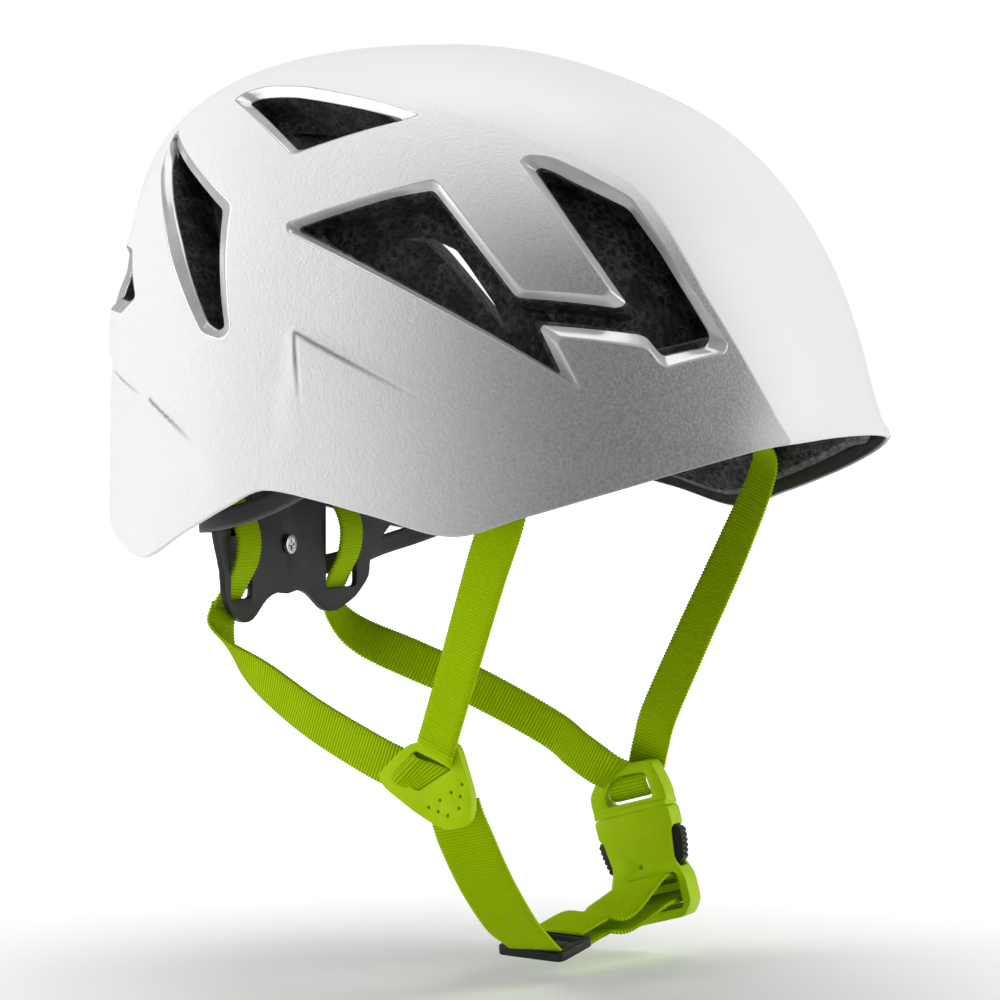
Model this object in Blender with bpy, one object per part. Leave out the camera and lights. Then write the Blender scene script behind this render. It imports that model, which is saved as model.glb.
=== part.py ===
"""Climbing helmet with a vented shell, a foam liner, a dial-adjusted nape cradle and a webbing harness.

The front of the helmet faces -Y, the wearer's right is -X and +Z is up. The origin is the centre of the
head opening at the height of the front brim. Sizes are in millimetres and MM turns them into metres.
"""

import math

import bmesh
import bpy
from mathutils import Matrix, Vector

MM = 0.001
RIGHT, LEFT = -1, 1  # sign of x on the wearer's right and left
GAP = 0.3  # between pieces that touch

# Shell
HALF_WIDTH = 117.0
FRONT_REACH = 143.0
REAR_REACH = 140.0
CROWN_HEIGHT = 140.0
CROWN_SHIFT = 8.0  # the crown lies behind the middle
PLAN_POWER = 2.2  # superellipse of the plan outline
BELT_HEIGHT = {"front": -16.0, "side": 5.0, "rear": 19.0}  # where the shell is widest
OUT_POWER = {"front": 2.3, "side": 2.25, "rear": 3.0}
UP_POWER = {"front": 1.86, "side": 2.5, "rear": 3.2}
BRIM_FLARE = 6.0
BRIM_FADE = 8.0
REAR_HOLLOW = 5.0
REAR_HOLLOW_HEIGHT = 75.0
REAR_HOLLOW_SPAN = 22.0
FOREHEAD_DIP = 4.0
FOREHEAD_DIP_PLACE = -50.0
SHELL_THICKNESS = 2.0
# Height of the lower edge at each angle from the front, the same on both sides
RIM = (
    (0, 1.5), (20, -1.0), (35, -7.5), (50, -16.5), (62, -24.5), (72, -31.0), (84, -24.0),
    (97, -17.0), (104, -23.5), (112, -32.0), (125, -43.0), (147, -32.0), (180, -27.0),
)

# Foam liner
LINER_DEPTH = SHELL_THICKNESS + 1.2  # room for the facets of both curved faces
LINER_THICKNESS = {"front": 18.0, "side": 18.0, "rear": 15.0}
LINER_EDGE = 0.33  # share of the thickness that is left at the lower edge
LINER_TAPER_START = 0.6  # share of the way down where it starts to thin
LINER_RISE = 6.0  # its lower edge above the shell's
POCKET_DEPTH = 12.0
PAD_THICKNESS = 6.0

# Harness
WEBBING = 15.0
CHIN_WEBBING = 20.0
WEB_THICKNESS = 1.3

# Nape cradle and size adjuster
CRADLE_FACE = 85.0  # y of its inner face at the middle
CRADLE_CURL = 11.0  # how far it has come forward at CRADLE_HALF
CRADLE_HALF = 66.0
CRADLE_THICKNESS = 2.2
SLOT_PLACE = 35.0  # middle of the slots for the rear straps
SLOT_HALF = 9.0
SLOT_LOW, SLOT_HIGH = -62.5, -21.5
DIAL_HEIGHT = -44.0
PINION_TEETH = 12
TOOTH_MODULE = 1.0
PITCH_RADIUS = PINION_TEETH * TOOTH_MODULE / 2
TOOTH_REACH = 0.85
TOOTH_DEPTH = 1.3
RACK_HEIGHT = 5.0
RACK_TEETH = 9
RACK_FIRST = 3.5  # place of the first tooth, in pitches from the dial's axis
RACK_FRONT = 88.8
RACK_BACK = 92.8
RACK_INNER = 15.5  # its free end, past the pinion
RACK_OUTER = 34.0
HOUSING_HALF = 30.0
HOUSING_RISE = 14.5
HOUSING_BACK = 96.3
HOUSING_WALL = 1.5
KNOB_RADIUS = 17.0
KNOB_DEPTH = 10.0
TEMPLE = (92.8, 0.0, -4.0)  # pivot of the side arms, on the left
TEMPLE_PIN_RADIUS = 2.5

# Buckle on the left cheek: its seam's middle, the way down it and the way across it
BUCKLE_SEAM = Vector((70.0, -26.0, -146.0))
BUCKLE_DOWN = Vector((0.0, -0.27, -0.963)).normalized()
BUCKLE_ACROSS = Vector((0.0, -0.963, 0.27)).normalized()
BUCKLE_INWARD = Vector((-1.0, 0.0, 0.0))
BUCKLE_HALF = 16.0
BUCKLE_LENGTH = 42.0
BUCKLE_THICKNESS = 9.0

DIVIDER_CENTRE = Vector((-70.0, -17.0, -119.5))
DIVIDER_THICKNESS = 3.6
SLIDER_CENTRE = Vector((2.0, -23.5, -186.5))
SLIDER_ALONG = Vector((0.985, -0.08, 0.155)).normalized()  # towards the buckle

WHITE = (0.86, 0.86, 0.86)
FOAM_BLACK = (0.02, 0.02, 0.021)
PLASTIC_BLACK = (0.03, 0.03, 0.033)
LIME = (0.33, 0.51, 0.005)
STEEL = (0.6, 0.6, 0.62)
PAD_GREY = (0.06, 0.06, 0.065)


# ---------------------------------------------------------------- scene and materials

def clear_scene():
    for obj in list(bpy.data.objects):
        bpy.data.objects.remove(obj)


def make_material(name, colour, roughness, metallic=0.0):
    material = bpy.data.materials.new(name)
    material.use_nodes = True
    shader = material.node_tree.nodes["Principled BSDF"]
    shader.inputs["Base Color"].default_value = (*colour, 1.0)
    shader.inputs["Roughness"].default_value = roughness
    shader.inputs["Metallic"].default_value = metallic
    return material


def add_mesh(name, points, faces, finish=None):
    """An object whose mesh has these points, given in millimetres, and its faces turned outwards."""
    mesh = bpy.data.meshes.new(name)
    mesh.from_pydata([Vector(point) * MM for point in points], [], faces)
    work = bmesh.new()
    work.from_mesh(mesh)
    bmesh.ops.recalc_face_normals(work, faces=work.faces)
    work.to_mesh(mesh)
    work.free()
    obj = bpy.data.objects.new(name, mesh)
    bpy.context.collection.objects.link(obj)
    if finish is not None:
        mesh.materials.append(make_material(name, *finish))
        mesh.shade_smooth()
        mesh.set_sharp_from_angle(angle=math.radians(40))
    return obj


def boolean(target, tool, operation="DIFFERENCE"):
    tool.hide_render = True
    tool.display_type = "WIRE"
    change = target.modifiers.new(tool.name, "BOOLEAN")
    change.operation = operation
    change.solver = "EXACT"
    change.object = tool


def place_on_axis(objects, name, point):
    """Parents the objects to an empty on their joint's axis."""
    empty = bpy.data.objects.new(name, None)
    empty.location = Vector(point) * MM
    bpy.context.collection.objects.link(empty)
    for obj in objects:
        obj.parent = empty
        obj.matrix_parent_inverse = Matrix.Translation(-empty.location)
    return empty


# ---------------------------------------------------------------- solids from outlines

def prism(name, outline, centre, across, up, low, high, finish=None):
    """A straight solid over an outline in the plane of across and up, from low to high along their normal."""
    centre, across, up = Vector(centre), Vector(across), Vector(up)
    normal = across.cross(up)
    count = len(outline)
    points = [
        centre + across * a + up * b + normal * level for level in (low, high) for a, b in outline
    ]
    faces = [tuple(range(count)), tuple(range(count, 2 * count))]
    faces += [(i, (i + 1) % count, (i + 1) % count + count, i + count) for i in range(count)]
    return add_mesh(name, points, faces, finish)


def circle(radius, count, centre=(0.0, 0.0)):
    turns = [2 * math.pi * k / count for k in range(count)]
    return [(centre[0] + radius * math.cos(t), centre[1] + radius * math.sin(t)) for t in turns]


def rectangle(low_a, high_a, low_b, high_b):
    return [(low_a, low_b), (high_a, low_b), (high_a, high_b), (low_a, high_b)]


def rounded(corners, radius, steps=3):
    """The outline with each corner cut back to an arc of about this radius."""
    result = []
    for before, corner, after in zip(corners[-1:] + corners[:-1], corners, corners[1:] + corners[:1]):
        here = Vector(corner)
        back, ahead = Vector(before) - here, Vector(after) - here
        reach = min(radius, 0.45 * back.length, 0.45 * ahead.length)
        start, end = here + back.normalized() * reach, here + ahead.normalized() * reach
        for k in range(steps + 1):
            t = k / steps
            result.append(tuple(start * (1 - t) ** 2 + here * 2 * t * (1 - t) + end * t**2))
    return result


def mirrored(half):
    """A whole outline from the half of it on one side of a = 0."""
    return half + [(-a, b) for a, b in reversed(half) if a]


# ---------------------------------------------------------------- the shell's surface

def blend(values, theta):
    """The value at an angle between those of the front, side and rear."""
    front, rear = max(0.0, math.cos(theta)) ** 2, max(0.0, -math.cos(theta)) ** 2
    return values["front"] * front + values["side"] * math.sin(theta) ** 2 + values["rear"] * rear


def plan_point(theta):
    """The belt's outline seen from above. Theta runs from the front over the wearer's right."""
    c, s = math.cos(theta), math.sin(theta)
    reach = FRONT_REACH if c >= 0 else REAR_REACH
    x = -HALF_WIDTH * math.copysign(abs(s) ** (2 / PLAN_POWER), s)
    y = -reach * math.copysign(abs(c) ** (2 / PLAN_POWER), c)
    return x, y


def dome_point(theta, tau):
    """A point above the belt: tau is 0 at the crown and a right angle at the belt."""
    x, y = plan_point(theta)
    belt = blend(BELT_HEIGHT, theta)
    out = math.sin(tau) ** (2 / blend(OUT_POWER, theta))
    z = belt + (CROWN_HEIGHT - belt) * max(0.0, math.cos(tau)) ** (2 / blend(UP_POWER, theta))
    front, rear = max(0.0, math.cos(theta)) ** 2, max(0.0, -math.cos(theta)) ** 2
    flare = BRIM_FLARE * front * math.exp(-max(z, 0.0) / BRIM_FADE)
    hollow = REAR_HOLLOW * rear * math.exp(-(((z - REAR_HOLLOW_HEIGHT) / REAR_HOLLOW_SPAN) ** 2))
    scale = out + (flare - hollow) / math.hypot(x, y)
    x, y = x * scale, y * scale + CROWN_SHIFT * (1 - out)
    dip = FOREHEAD_DIP * math.exp(-(((y - FOREHEAD_DIP_PLACE) / 35.0) ** 2 + (x / 60.0) ** 2))
    return Vector((x, y, z - dip))


def rim_height(theta):
    """A smooth curve through RIM."""
    angle = math.degrees(theta) % 360
    angle = min(angle, 360 - angle)
    knots = [(-RIM[1][0], RIM[1][1]), *RIM, (360 - RIM[-2][0], RIM[-2][1])]
    k = max(i for i in range(1, len(knots) - 2) if knots[i][0] <= angle)
    (x0, y0), (x1, y1), (x2, y2), (x3, y3) = knots[k - 1:k + 3]
    t = (angle - x1) / (x2 - x1)
    slope1 = (y2 - y0) / (x2 - x0) * (x2 - x1)
    slope2 = (y3 - y1) / (x3 - x1) * (x2 - x1)
    return (
        y1 * (2 * t**3 - 3 * t**2 + 1) + slope1 * (t**3 - 2 * t**2 + t)
        + y2 * (3 * t**2 - 2 * t**3) + slope2 * (t**3 - t**2)
    )


def meridian(theta, bottom, rows):
    """Points at equal spacing from the crown to this height, over the dome and down the wall under it."""
    line = []
    steps = 90
    for k in range(steps + 1):
        point = dome_point(theta, max(1e-4, math.pi / 2 * k / steps))
        if point.z < bottom and k > steps / 2:
            share = (line[-1].z - bottom) / (line[-1].z - point.z)
            line.append(line[-1].lerp(point, share))
            break
        line.append(point)
    else:
        line.append(Vector((line[-1].x, line[-1].y, bottom)))
    lengths = [0.0]
    for first, second in zip(line, line[1:]):
        lengths.append(lengths[-1] + (second - first).length)
    result = []
    k = 0
    for row in range(rows + 1):
        wanted = lengths[-1] * row / rows
        while k < len(line) - 2 and lengths[k + 1] < wanted:
            k += 1
        share = (wanted - lengths[k]) / max(lengths[k + 1] - lengths[k], 1e-9)
        result.append(line[k].lerp(line[k + 1], min(share, 1.0)))
    return result


def skin(angles, rows, bottom_rise, closed):
    """Grid of surface points, one list for each angle, and the same grid of outward normals."""
    grid = [meridian(theta, rim_height(theta) + bottom_rise, rows) for theta in angles]
    count = len(grid)
    normals = []
    for i in range(count):
        after = grid[(i + 1) % count] if closed else grid[min(i + 1, count - 1)]
        before = grid[i - 1] if closed else grid[max(i - 1, 0)]
        column = [Vector((0, 0, 1))]
        for j in range(1, rows + 1):
            along = grid[i][min(j + 1, rows)] - grid[i][j - 1]
            around = after[j] - before[j]
            normal = along.cross(around).normalized()
            column.append(normal if normal.dot(grid[i][j] - Vector((0, 0, -60))) > 0 else -normal)
        normals.append(column)
    return grid, normals


def layer(name, columns, rows, bottom_rise, outer_depth, thickness, finish):
    """A closed bowl under the shell's surface. thickness takes the angle and the share of the way down."""
    angles = [2 * math.pi * k / columns for k in range(columns)]
    grid, normals = skin(angles, rows, bottom_rise, True)
    points, faces = [], []
    for layers in (0, 1):
        base = len(points)
        points.append(grid[0][0] - Vector((0, 0, outer_depth + layers * thickness(math.pi / 2, 0.0))))
        for i, theta in enumerate(angles):
            for j in range(1, rows + 1):
                depth = outer_depth + layers * thickness(theta, j / rows)
                points.append(grid[i][j] - normals[i][j] * depth)
        def index(i, j):
            return base if j == 0 else base + 1 + (i % columns) * rows + j - 1
        for i in range(columns):
            faces.append((index(i, 0), index(i, 1), index(i + 1, 1)))
            for j in range(1, rows):
                faces.append((index(i, j), index(i, j + 1), index(i + 1, j + 1), index(i + 1, j)))
    inner = 1 + columns * rows
    for i in range(columns):
        a, b = (i + 1) * rows, ((i + 1) % columns + 1) * rows
        faces.append((a, b, b + inner, a + inner))
    return add_mesh(name, points, faces, finish)


def patch(name, angle_range, rows_range, depth, thickness, finish, columns=7, rows=5):
    """A pad that lies on the inside of the liner: a piece of the surface between two angles and two rows."""
    low, high = (math.radians(a) for a in angle_range)
    angles = [low + (high - low) * k / columns for k in range(columns + 1)]
    fine = 40
    grid, normals = skin(angles, fine, LINER_RISE, False)
    first, last = rows_range
    picks = [round(fine * (first + (last - first) * j / rows)) for j in range(rows + 1)]
    points = []
    for level in (depth, depth + thickness):
        for i in range(columns + 1):
            points += [grid[i][j] - normals[i][j] * level for j in picks]
    width, sheet = rows + 1, (columns + 1) * (rows + 1)
    faces = []
    for base in (0, sheet):
        for i in range(columns):
            for j in range(rows):
                a = base + i * width + j
                faces.append((a, a + 1, a + width + 1, a + width))
    edge = list(range(rows)) + [i * width + rows for i in range(columns)]
    edge += [columns * width + j for j in range(rows, 0, -1)] + [i * width for i in range(columns, 0, -1)]
    for a, b in zip(edge, edge[1:] + edge[:1]):
        faces.append((a, b, b + sheet, a + sheet))
    return add_mesh(name, points, faces, finish)


# ---------------------------------------------------------------- vents

# Each vent: middle and direction of its axis on the right side, how deep it cuts, and its outline in
# millimetres along the surface (forwards, upwards)
VENTS = {
    "side_vent": {
        "centre": (-100, -50, 55), "axis": (-0.93, -0.22, 0.28), "depth": 64, "round": 2.5,
        "outline": [
            (-61, 17), (-27, 26), (-14, 27.5), (4, 5), (17, -9.5), (50, -10), (53, -8), (19.5, 38),
            (31, 34), (49, 27), (60, 13), (77, -13), (76, -18), (64, -23), (58, -16.5), (24, -16.5),
            (31.5, -32),
        ],
    },
    "crown_vent": {
        "centre": (-82, 20, 109), "axis": (-0.72, 0.12, 0.68), "depth": 34, "round": 4.0,
        "outline": [(-37, 12.5), (-21, 12.5), (4, 8), (35, 1), (1, -15.5)],
    },
    "rear_side_vent": {
        "centre": (-98, 62, 68), "axis": (-0.84, 0.44, 0.32), "depth": 42, "round": 3.0,
        "outline": [(-39, 37), (-7, 22), (14, 11), (19, -4), (28, -30), (20, -29), (-3, -1.5), (-19, 15)],
    },
    "rear_vent": {
        "centre": (-68, 113, 56), "axis": (-0.6, 0.75, 0.27), "depth": 34, "round": 3.0,
        "outline": [(27, -6), (14, 5.5), (-22, 9), (-27, 2), (-20, -7), (18, -8.5)],
    },
}
VENT_OUTSIDE = 14.0


def vent_cutter(name, vent, side):
    axis = Vector(vent["axis"]).normalized()
    centre = Vector(vent["centre"])
    across = Vector((0, 0, 1)).cross(axis).normalized()
    up = axis.cross(across)
    if side == LEFT:
        for vector in (axis, centre, across, up):
            vector.x = -vector.x
    outline = rounded([tuple(map(float, corner)) for corner in vent["outline"]], vent["round"])
    direction = across.cross(up)
    outward = 1 if direction.dot(axis) > 0 else -1
    low, high = sorted((-vent["depth"] * outward, VENT_OUTSIDE * outward))
    return prism(name, outline, centre, across, up, low, high)


def liner_thickness(theta, share):
    taper = max(0.0, (share - LINER_TAPER_START) / (1 - LINER_TAPER_START))
    return blend(LINER_THICKNESS, theta) * (1 - (1 - LINER_EDGE) * taper)


def build_shell_and_liner():
    shell = layer("outer_shell", 56, 15, 0.0, 0.0, lambda theta, share: SHELL_THICKNESS, (WHITE, 0.35))
    liner = layer("foam_liner", 44, 12, LINER_RISE, LINER_DEPTH, liner_thickness, (FOAM_BLACK, 0.9))
    for name, vent in VENTS.items():
        for side, word in ((RIGHT, "right"), (LEFT, "left")):
            cutter = vent_cutter(f"{name}_{word}_cutter", vent, side)
            boolean(shell, cutter)
            boolean(liner, cutter)
    # The front half of the side vent is a pocket: the liner's inner layer closes it
    for word, angles in (("right", (18, 56)), ("left", (304, 342))):
        floor = patch(
            f"pocket_floor_{word}", angles, (0.4, 0.84), LINER_DEPTH + POCKET_DEPTH,
            LINER_THICKNESS["side"] - POCKET_DEPTH - 0.7, None,
        )
        boolean(liner, floor, "UNION")


def build_pads():
    finish = (PAD_GREY, 0.95)
    depth = LINER_DEPTH + LINER_THICKNESS["side"] + 0.8
    thickness = PAD_THICKNESS
    patch("crown_pad_right", (60, 120), (0.06, 0.3), depth, thickness, finish)
    patch("crown_pad_left", (240, 300), (0.06, 0.3), depth, thickness, finish)
    patch("rear_pad", (164, 196), (0.3, 0.52), depth, thickness, finish)


# ---------------------------------------------------------------- webbing

def spline(values, steps):
    """Catmull-Rom curve through vectors, with steps between each two."""
    padded = [values[0] * 2 - values[1], *values, values[-1] * 2 - values[-2]]
    result = []
    for a, b, c, d in zip(padded, padded[1:], padded[2:], padded[3:]):
        for k in range(steps):
            t = k / steps
            result.append(
                0.5 * (2 * b + (c - a) * t + (2 * a - 5 * b + 4 * c - d) * t**2
                       + (3 * b - a - 3 * c + d) * t**3)
            )
    return result + [values[-1].copy()]


def band(name, stations, width, thickness, finish, steps=3):
    """A flat strap along stations, each a place and the direction of the strap's width there."""
    places = spline([Vector(place) for place, _ in stations], steps)
    widths = spline([Vector(direction) for _, direction in stations], steps)
    points, faces = [], []
    for k, place in enumerate(places):
        ahead, back = places[min(k + 1, len(places) - 1)], places[max(k - 1, 0)]
        tangent = (ahead - back).normalized()
        across = (widths[k] - tangent * widths[k].dot(tangent)).normalized()
        normal = tangent.cross(across)
        for a, b in ((-1, -1), (1, -1), (1, 1), (-1, 1)):
            points.append(place + across * a * width / 2 + normal * b * thickness / 2)
    for k in range(len(places) - 1):
        for c in range(4):
            a, b = 4 * k + c, 4 * k + (c + 1) % 4
            faces.append((a, b, b + 4, a + 4))
    last = 4 * (len(places) - 1)
    faces += [(0, 1, 2, 3), (last, last + 1, last + 2, last + 3)]
    return add_mesh(name, points, faces, finish)


def flip(stations):
    """The same stations on the other side of the helmet."""
    return [((-x, y, z), (-a, b, c)) for (x, y, z), (a, b, c) in stations]


# The stretch of the rear strap from its anchor through the nape cradle, on the right
NAPE_RUN = [
    ((-36, 104.0, -12), (1, 0, 0)),
    ((-36, 94.0, -19), (1, 0, 0)),
    ((-36, 84.5, -28), (1, 0, 0)),
    ((-36, 79.5, -38), (1, 0, 0)),
    ((-36, 80.0, -48), (1, 0, 0)),
    ((-36.3, 84.3, -56.5), (1, 0, 0)),
    ((-37.5, 89.0, -65), (1, -0.05, 0)),
    ((-40.5, 88.5, -73), (0.9, -0.1, -0.35)),
    ((-45, 79.5, -82), (0.65, 0.1, -0.7)),
    ((-52, 60.0, -91), (0.25, 0.3, -0.92)),
    ((-60, 36.0, -101.5), (0.1, 0.4, -0.91)),
]
# The front straps from their anchors downwards: the left one hangs a little further forwards
FRONT_RIGHT = [
    ((-92.5, -61.0, -11), (0.42, -0.82, -0.38)),
    ((-95.0, -59.5, -26), (0.42, -0.82, -0.38)),
    ((-90.7, -50.5, -45), (0.2, -0.88, -0.42)),
    ((-81.8, -35.8, -76), (0.05, -0.88, -0.47)),
]
FRONT_LEFT = [
    ((89.5, -68.0, -4), (-0.45, -0.84, -0.3)),
    ((93.5, -68.0, -16), (-0.45, -0.84, -0.3)),
    ((89.6, -57.4, -45), (-0.2, -0.9, -0.36)),
    ((80.8, -44.2, -80), (-0.05, -0.92, -0.36)),
]


def build_straps():
    webbing = (LIME, 0.75)
    front_end = [((-74.6, -24.0, -101), (0, -0.88, -0.47)), ((-74.2, -20.5, -109), (0, -0.88, -0.47))]
    band("front_strap_right", FRONT_RIGHT + front_end, WEBBING, WEB_THICKNESS, webbing)
    front_end = [((73.8, -33.6, -108), (0, -0.92, -0.36)), ((70.0, -28.6, -122.0), (0, -0.94, -0.3))]
    band("front_strap_left", FRONT_LEFT + front_end, WEBBING, WEB_THICKNESS, webbing)
    rear_end = [((-66.3, 8.0, -112), (0, 0.45, -0.89)), ((-66.8, -6.0, -117), (0, 0.45, -0.89))]
    band("rear_strap_right", NAPE_RUN + rear_end, WEBBING, WEB_THICKNESS, webbing)
    rear_end = [((69.0, 8.0, -117), (0, 0.5, -0.86)), ((74.5, -9.0, -127), (0, 0.5, -0.86))]
    band("rear_strap_left", flip(NAPE_RUN) + rear_end, WEBBING, WEB_THICKNESS, webbing)
    across = (0, -0.87, 0.49)
    band(
        "chin_strap_right",
        [
            ((-66.4, -24.0, -126.5), across), ((-61.5, -26.0, -138.5), across),
            ((-48.0, -26.5, -156), (0, -0.92, 0.38)), ((-29.0, -26.0, -173.5), (0, -0.97, 0.25)),
            ((-14.0, -25.0, -182.5), (0, -1, 0.1)),
        ],
        CHIN_WEBBING, WEB_THICKNESS, webbing,
    )
    along = SLIDER_ALONG
    start = SLIDER_CENTRE + along * 13.2
    lift = Vector((0, 0, 1.6))
    level, tilted = (0, -1, 0.05), tuple(BUCKLE_ACROSS)
    sag = along * 22 - Vector((0, 3.5, 1.5))
    places = [(start + lift, level), (start + sag + lift, level)]
    # In over the bar in the recess, behind it and back
    wrap = [(26.9, 9.0), (26.9, 2.0), (26.9, -4.0), (30.4, -7.0), (34.0, -4.0), (34.2, 2.0), (34.2, 9.0)]
    places += [(buckle_point(down, 0.0, inward), tilted) for down, inward in wrap]
    places += [(start + sag - lift * 1.6, level), (start - lift, level)]
    band("chin_strap_left", places, CHIN_WEBBING, WEB_THICKNESS, webbing, steps=4)


def build_anchors():
    finish = (PLASTIC_BLACK, 0.5)
    for side, word in ((RIGHT, "right"), (LEFT, "left")):
        top, _ = (FRONT_RIGHT if side == RIGHT else FRONT_LEFT)[0]
        prism(
            f"front_anchor_{word}", rounded(rectangle(-8.5, 8.5, 3.8, 12.0), 2.0),
            top, Vector((-side * 0.45, -0.893, 0)), (0, 0, 1), -2.0, 2.0, finish,
        )
        prism(
            f"rear_anchor_{word}", rounded(rectangle(-10.0, 10.0, -5.0, 5.0), 2.0),
            (side * 36.0, 104.5, -5.0), (1, 0, 0), (0, 0, 1), -2.2, 2.2, finish,
        )


# ---------------------------------------------------------------- headband, nape cradle and dial

def build_headband():
    finish = (PLASTIC_BLACK, 0.45)
    stations, pad_stations = [], []
    for degrees in range(-86, 87, 12):
        theta = math.radians(degrees)
        x, y = plan_point(theta)
        z = 16.0 * math.cos(theta) - 3.0
        stations.append(((x * 90.6 / HALF_WIDTH, y * 114.0 / FRONT_REACH, z), (0, 0, 1)))
        if abs(degrees) < 60:
            pad_stations.append(((x * 86.0 / HALF_WIDTH, y * 109.6 / FRONT_REACH, z), (0, 0, 1)))
    front = band("headband_front", stations, 18.0, 1.5, finish, steps=2)
    band("forehead_pad", pad_stations, 26.0, 5.0, (PAD_GREY, 0.95), steps=1)
    for side, word in ((RIGHT, "right"), (LEFT, "left")):
        centre = (side * TEMPLE[0], TEMPLE[1], TEMPLE[2])
        hole = prism(
            f"headband_hole_{word}", circle(TEMPLE_PIN_RADIUS + 0.15, 24), centre,
            (0, 1, 0), (0, 0, 1), -8.0, 8.0,
        )
        boolean(front, hole)
        outer, inner = side * 2.4, side * -4.4
        shaft = prism(
            f"temple_pin_{word}", circle(TEMPLE_PIN_RADIUS, 24), centre,
            (0, 1, 0), (0, 0, 1), min(outer, inner), max(outer, inner), (STEEL, 0.35, 1.0),
        )
        head = prism(
            f"temple_pin_head_{word}", circle(4.5, 24), centre, (0, 1, 0), (0, 0, 1),
            min(side * -3.4, side * -5.0), max(side * -3.4, side * -5.0),
        )
        boolean(shaft, head, "UNION")


def cradle_face(x):
    """y of the cradle's inner face."""
    return CRADLE_FACE - CRADLE_CURL * (abs(x) / CRADLE_HALF) ** 3


def curved_slab(name, depth_front, depth_back, half, low, high, segments=24):
    """A solid that follows the cradle's curve, from depth_front to depth_back behind its inner face."""
    outline = []
    xs = [half * (2 * k / segments - 1) for k in range(segments + 1)]
    outline += [(x, cradle_face(x) + depth_front) for x in xs]
    outline += [(x, cradle_face(x) + depth_back) for x in reversed(xs)]
    return prism(name, outline, (0, 0, 0), (1, 0, 0), (0, 1, 0), low, high)


def build_cradle():
    outline = mirrored([
        (0.0, -16.0), (CRADLE_HALF - 6, -19.0), (CRADLE_HALF, -26.0), (CRADLE_HALF - 2, -36.0),
        (CRADLE_HALF - 9, -44.0), (CRADLE_HALF - 15, -52.0), (CRADLE_HALF - 15, -59.0),
        (CRADLE_HALF - 22, -66.5), (33.0, -71.5), (25.0, -71.0), (14.5, -63.5), (7.0, -61.5),
        (0.0, -63.0),
    ])
    reach = 25.0

    def through(name, shape, height=0.0, finish=None):
        """A solid that runs through the cradle from front to back."""
        centre = (0, CRADLE_FACE - 10, height)
        return prism(name, shape, centre, (1, 0, 0), (0, 0, 1), -reach, reach, finish)

    cradle = through("nape_cradle", rounded(outline, 3.0, 2), finish=(PLASTIC_BLACK, 0.5))
    slab = curved_slab("cradle_slab", 0.0, CRADLE_THICKNESS, CRADLE_HALF + 4, -90.0, 0.0)
    boolean(cradle, slab, "INTERSECT")
    for side, word in ((RIGHT, "right"), (LEFT, "left")):
        ends = sorted((side * (SLOT_PLACE - SLOT_HALF), side * (SLOT_PLACE + SLOT_HALF)))
        slot = through(f"cradle_slot_{word}", rounded(rectangle(*ends, SLOT_LOW, SLOT_HIGH), 2.0, 2))
        boolean(cradle, slot)
    boolean(cradle, through("cradle_screw_hole", circle(2.1, 16), DIAL_HEIGHT))
    return cradle


def build_housing():
    """An open box behind the cradle, with gaps at its ends for the racks and a hole for the dial."""
    front = CRADLE_FACE + CRADLE_THICKNESS + GAP
    centre = (0, 0, DIAL_HEIGHT)
    sideways, up = (1, 0, 0), (0, 0, 1)  # their normal points to -Y

    def block(name, outline, low, high, finish=None):
        return prism(name, outline, centre, sideways, up, -high, -low, finish)

    rise, half, wall = HOUSING_RISE, HOUSING_HALF, HOUSING_WALL
    housing = block(
        "dial_housing", rounded(rectangle(-half, half, -rise, rise), 4.0), front, HOUSING_BACK,
        (PLASTIC_BLACK, 0.45),
    )
    cavity = block(
        "housing_cavity", rectangle(wall - half, half - wall, wall - rise, rise - wall),
        front - 1, HOUSING_BACK - wall,
    )
    boolean(housing, cavity)
    for side, word in ((RIGHT, "right"), (LEFT, "left")):
        base = -side * PITCH_RADIUS
        gap = sorted((base + side * 1.6, base - side * (TOOTH_DEPTH + RACK_HEIGHT + 0.6)))
        window = block(
            f"housing_window_{word}",
            rectangle(*sorted((side * (half - 6), side * (half + 4))), *gap),
            RACK_FRONT - 0.4, RACK_BACK + 0.4,
        )
        boolean(housing, window)
    bore = block("housing_bore", circle(4.2, 24), HOUSING_BACK - 4, HOUSING_BACK + 4)
    boolean(housing, bore)

    clicker = block(
        "click_spring",
        [(7.6, -1.6), (8.4, -1.6), (8.4, 0.2), (18.0, 2.2), (26.0, 2.2), (26.0, 3.2), (17.8, 3.2),
         (7.6, 1.0)],
        RACK_FRONT, RACK_FRONT + 3.0, (STEEL, 0.3, 1.0),
    )
    return [housing, clicker]


def pinion_outline():
    """Teeth a little narrow for their spaces, so that they run freely."""
    flank = ((1.05, -TOOTH_DEPTH), (0.6, 0.0), (0.28, TOOTH_REACH))
    stations = flank + tuple((-offset, rise) for offset, rise in reversed(flank))
    outline = []
    for tooth in range(PINION_TEETH):
        turn = math.pi / 2 + 2 * math.pi * tooth / PINION_TEETH
        for offset, rise in stations:
            radius = PITCH_RADIUS + rise
            angle = turn - offset / min(radius, PITCH_RADIUS)
            outline.append((radius * math.cos(angle), radius * math.sin(angle)))
    return outline


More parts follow.
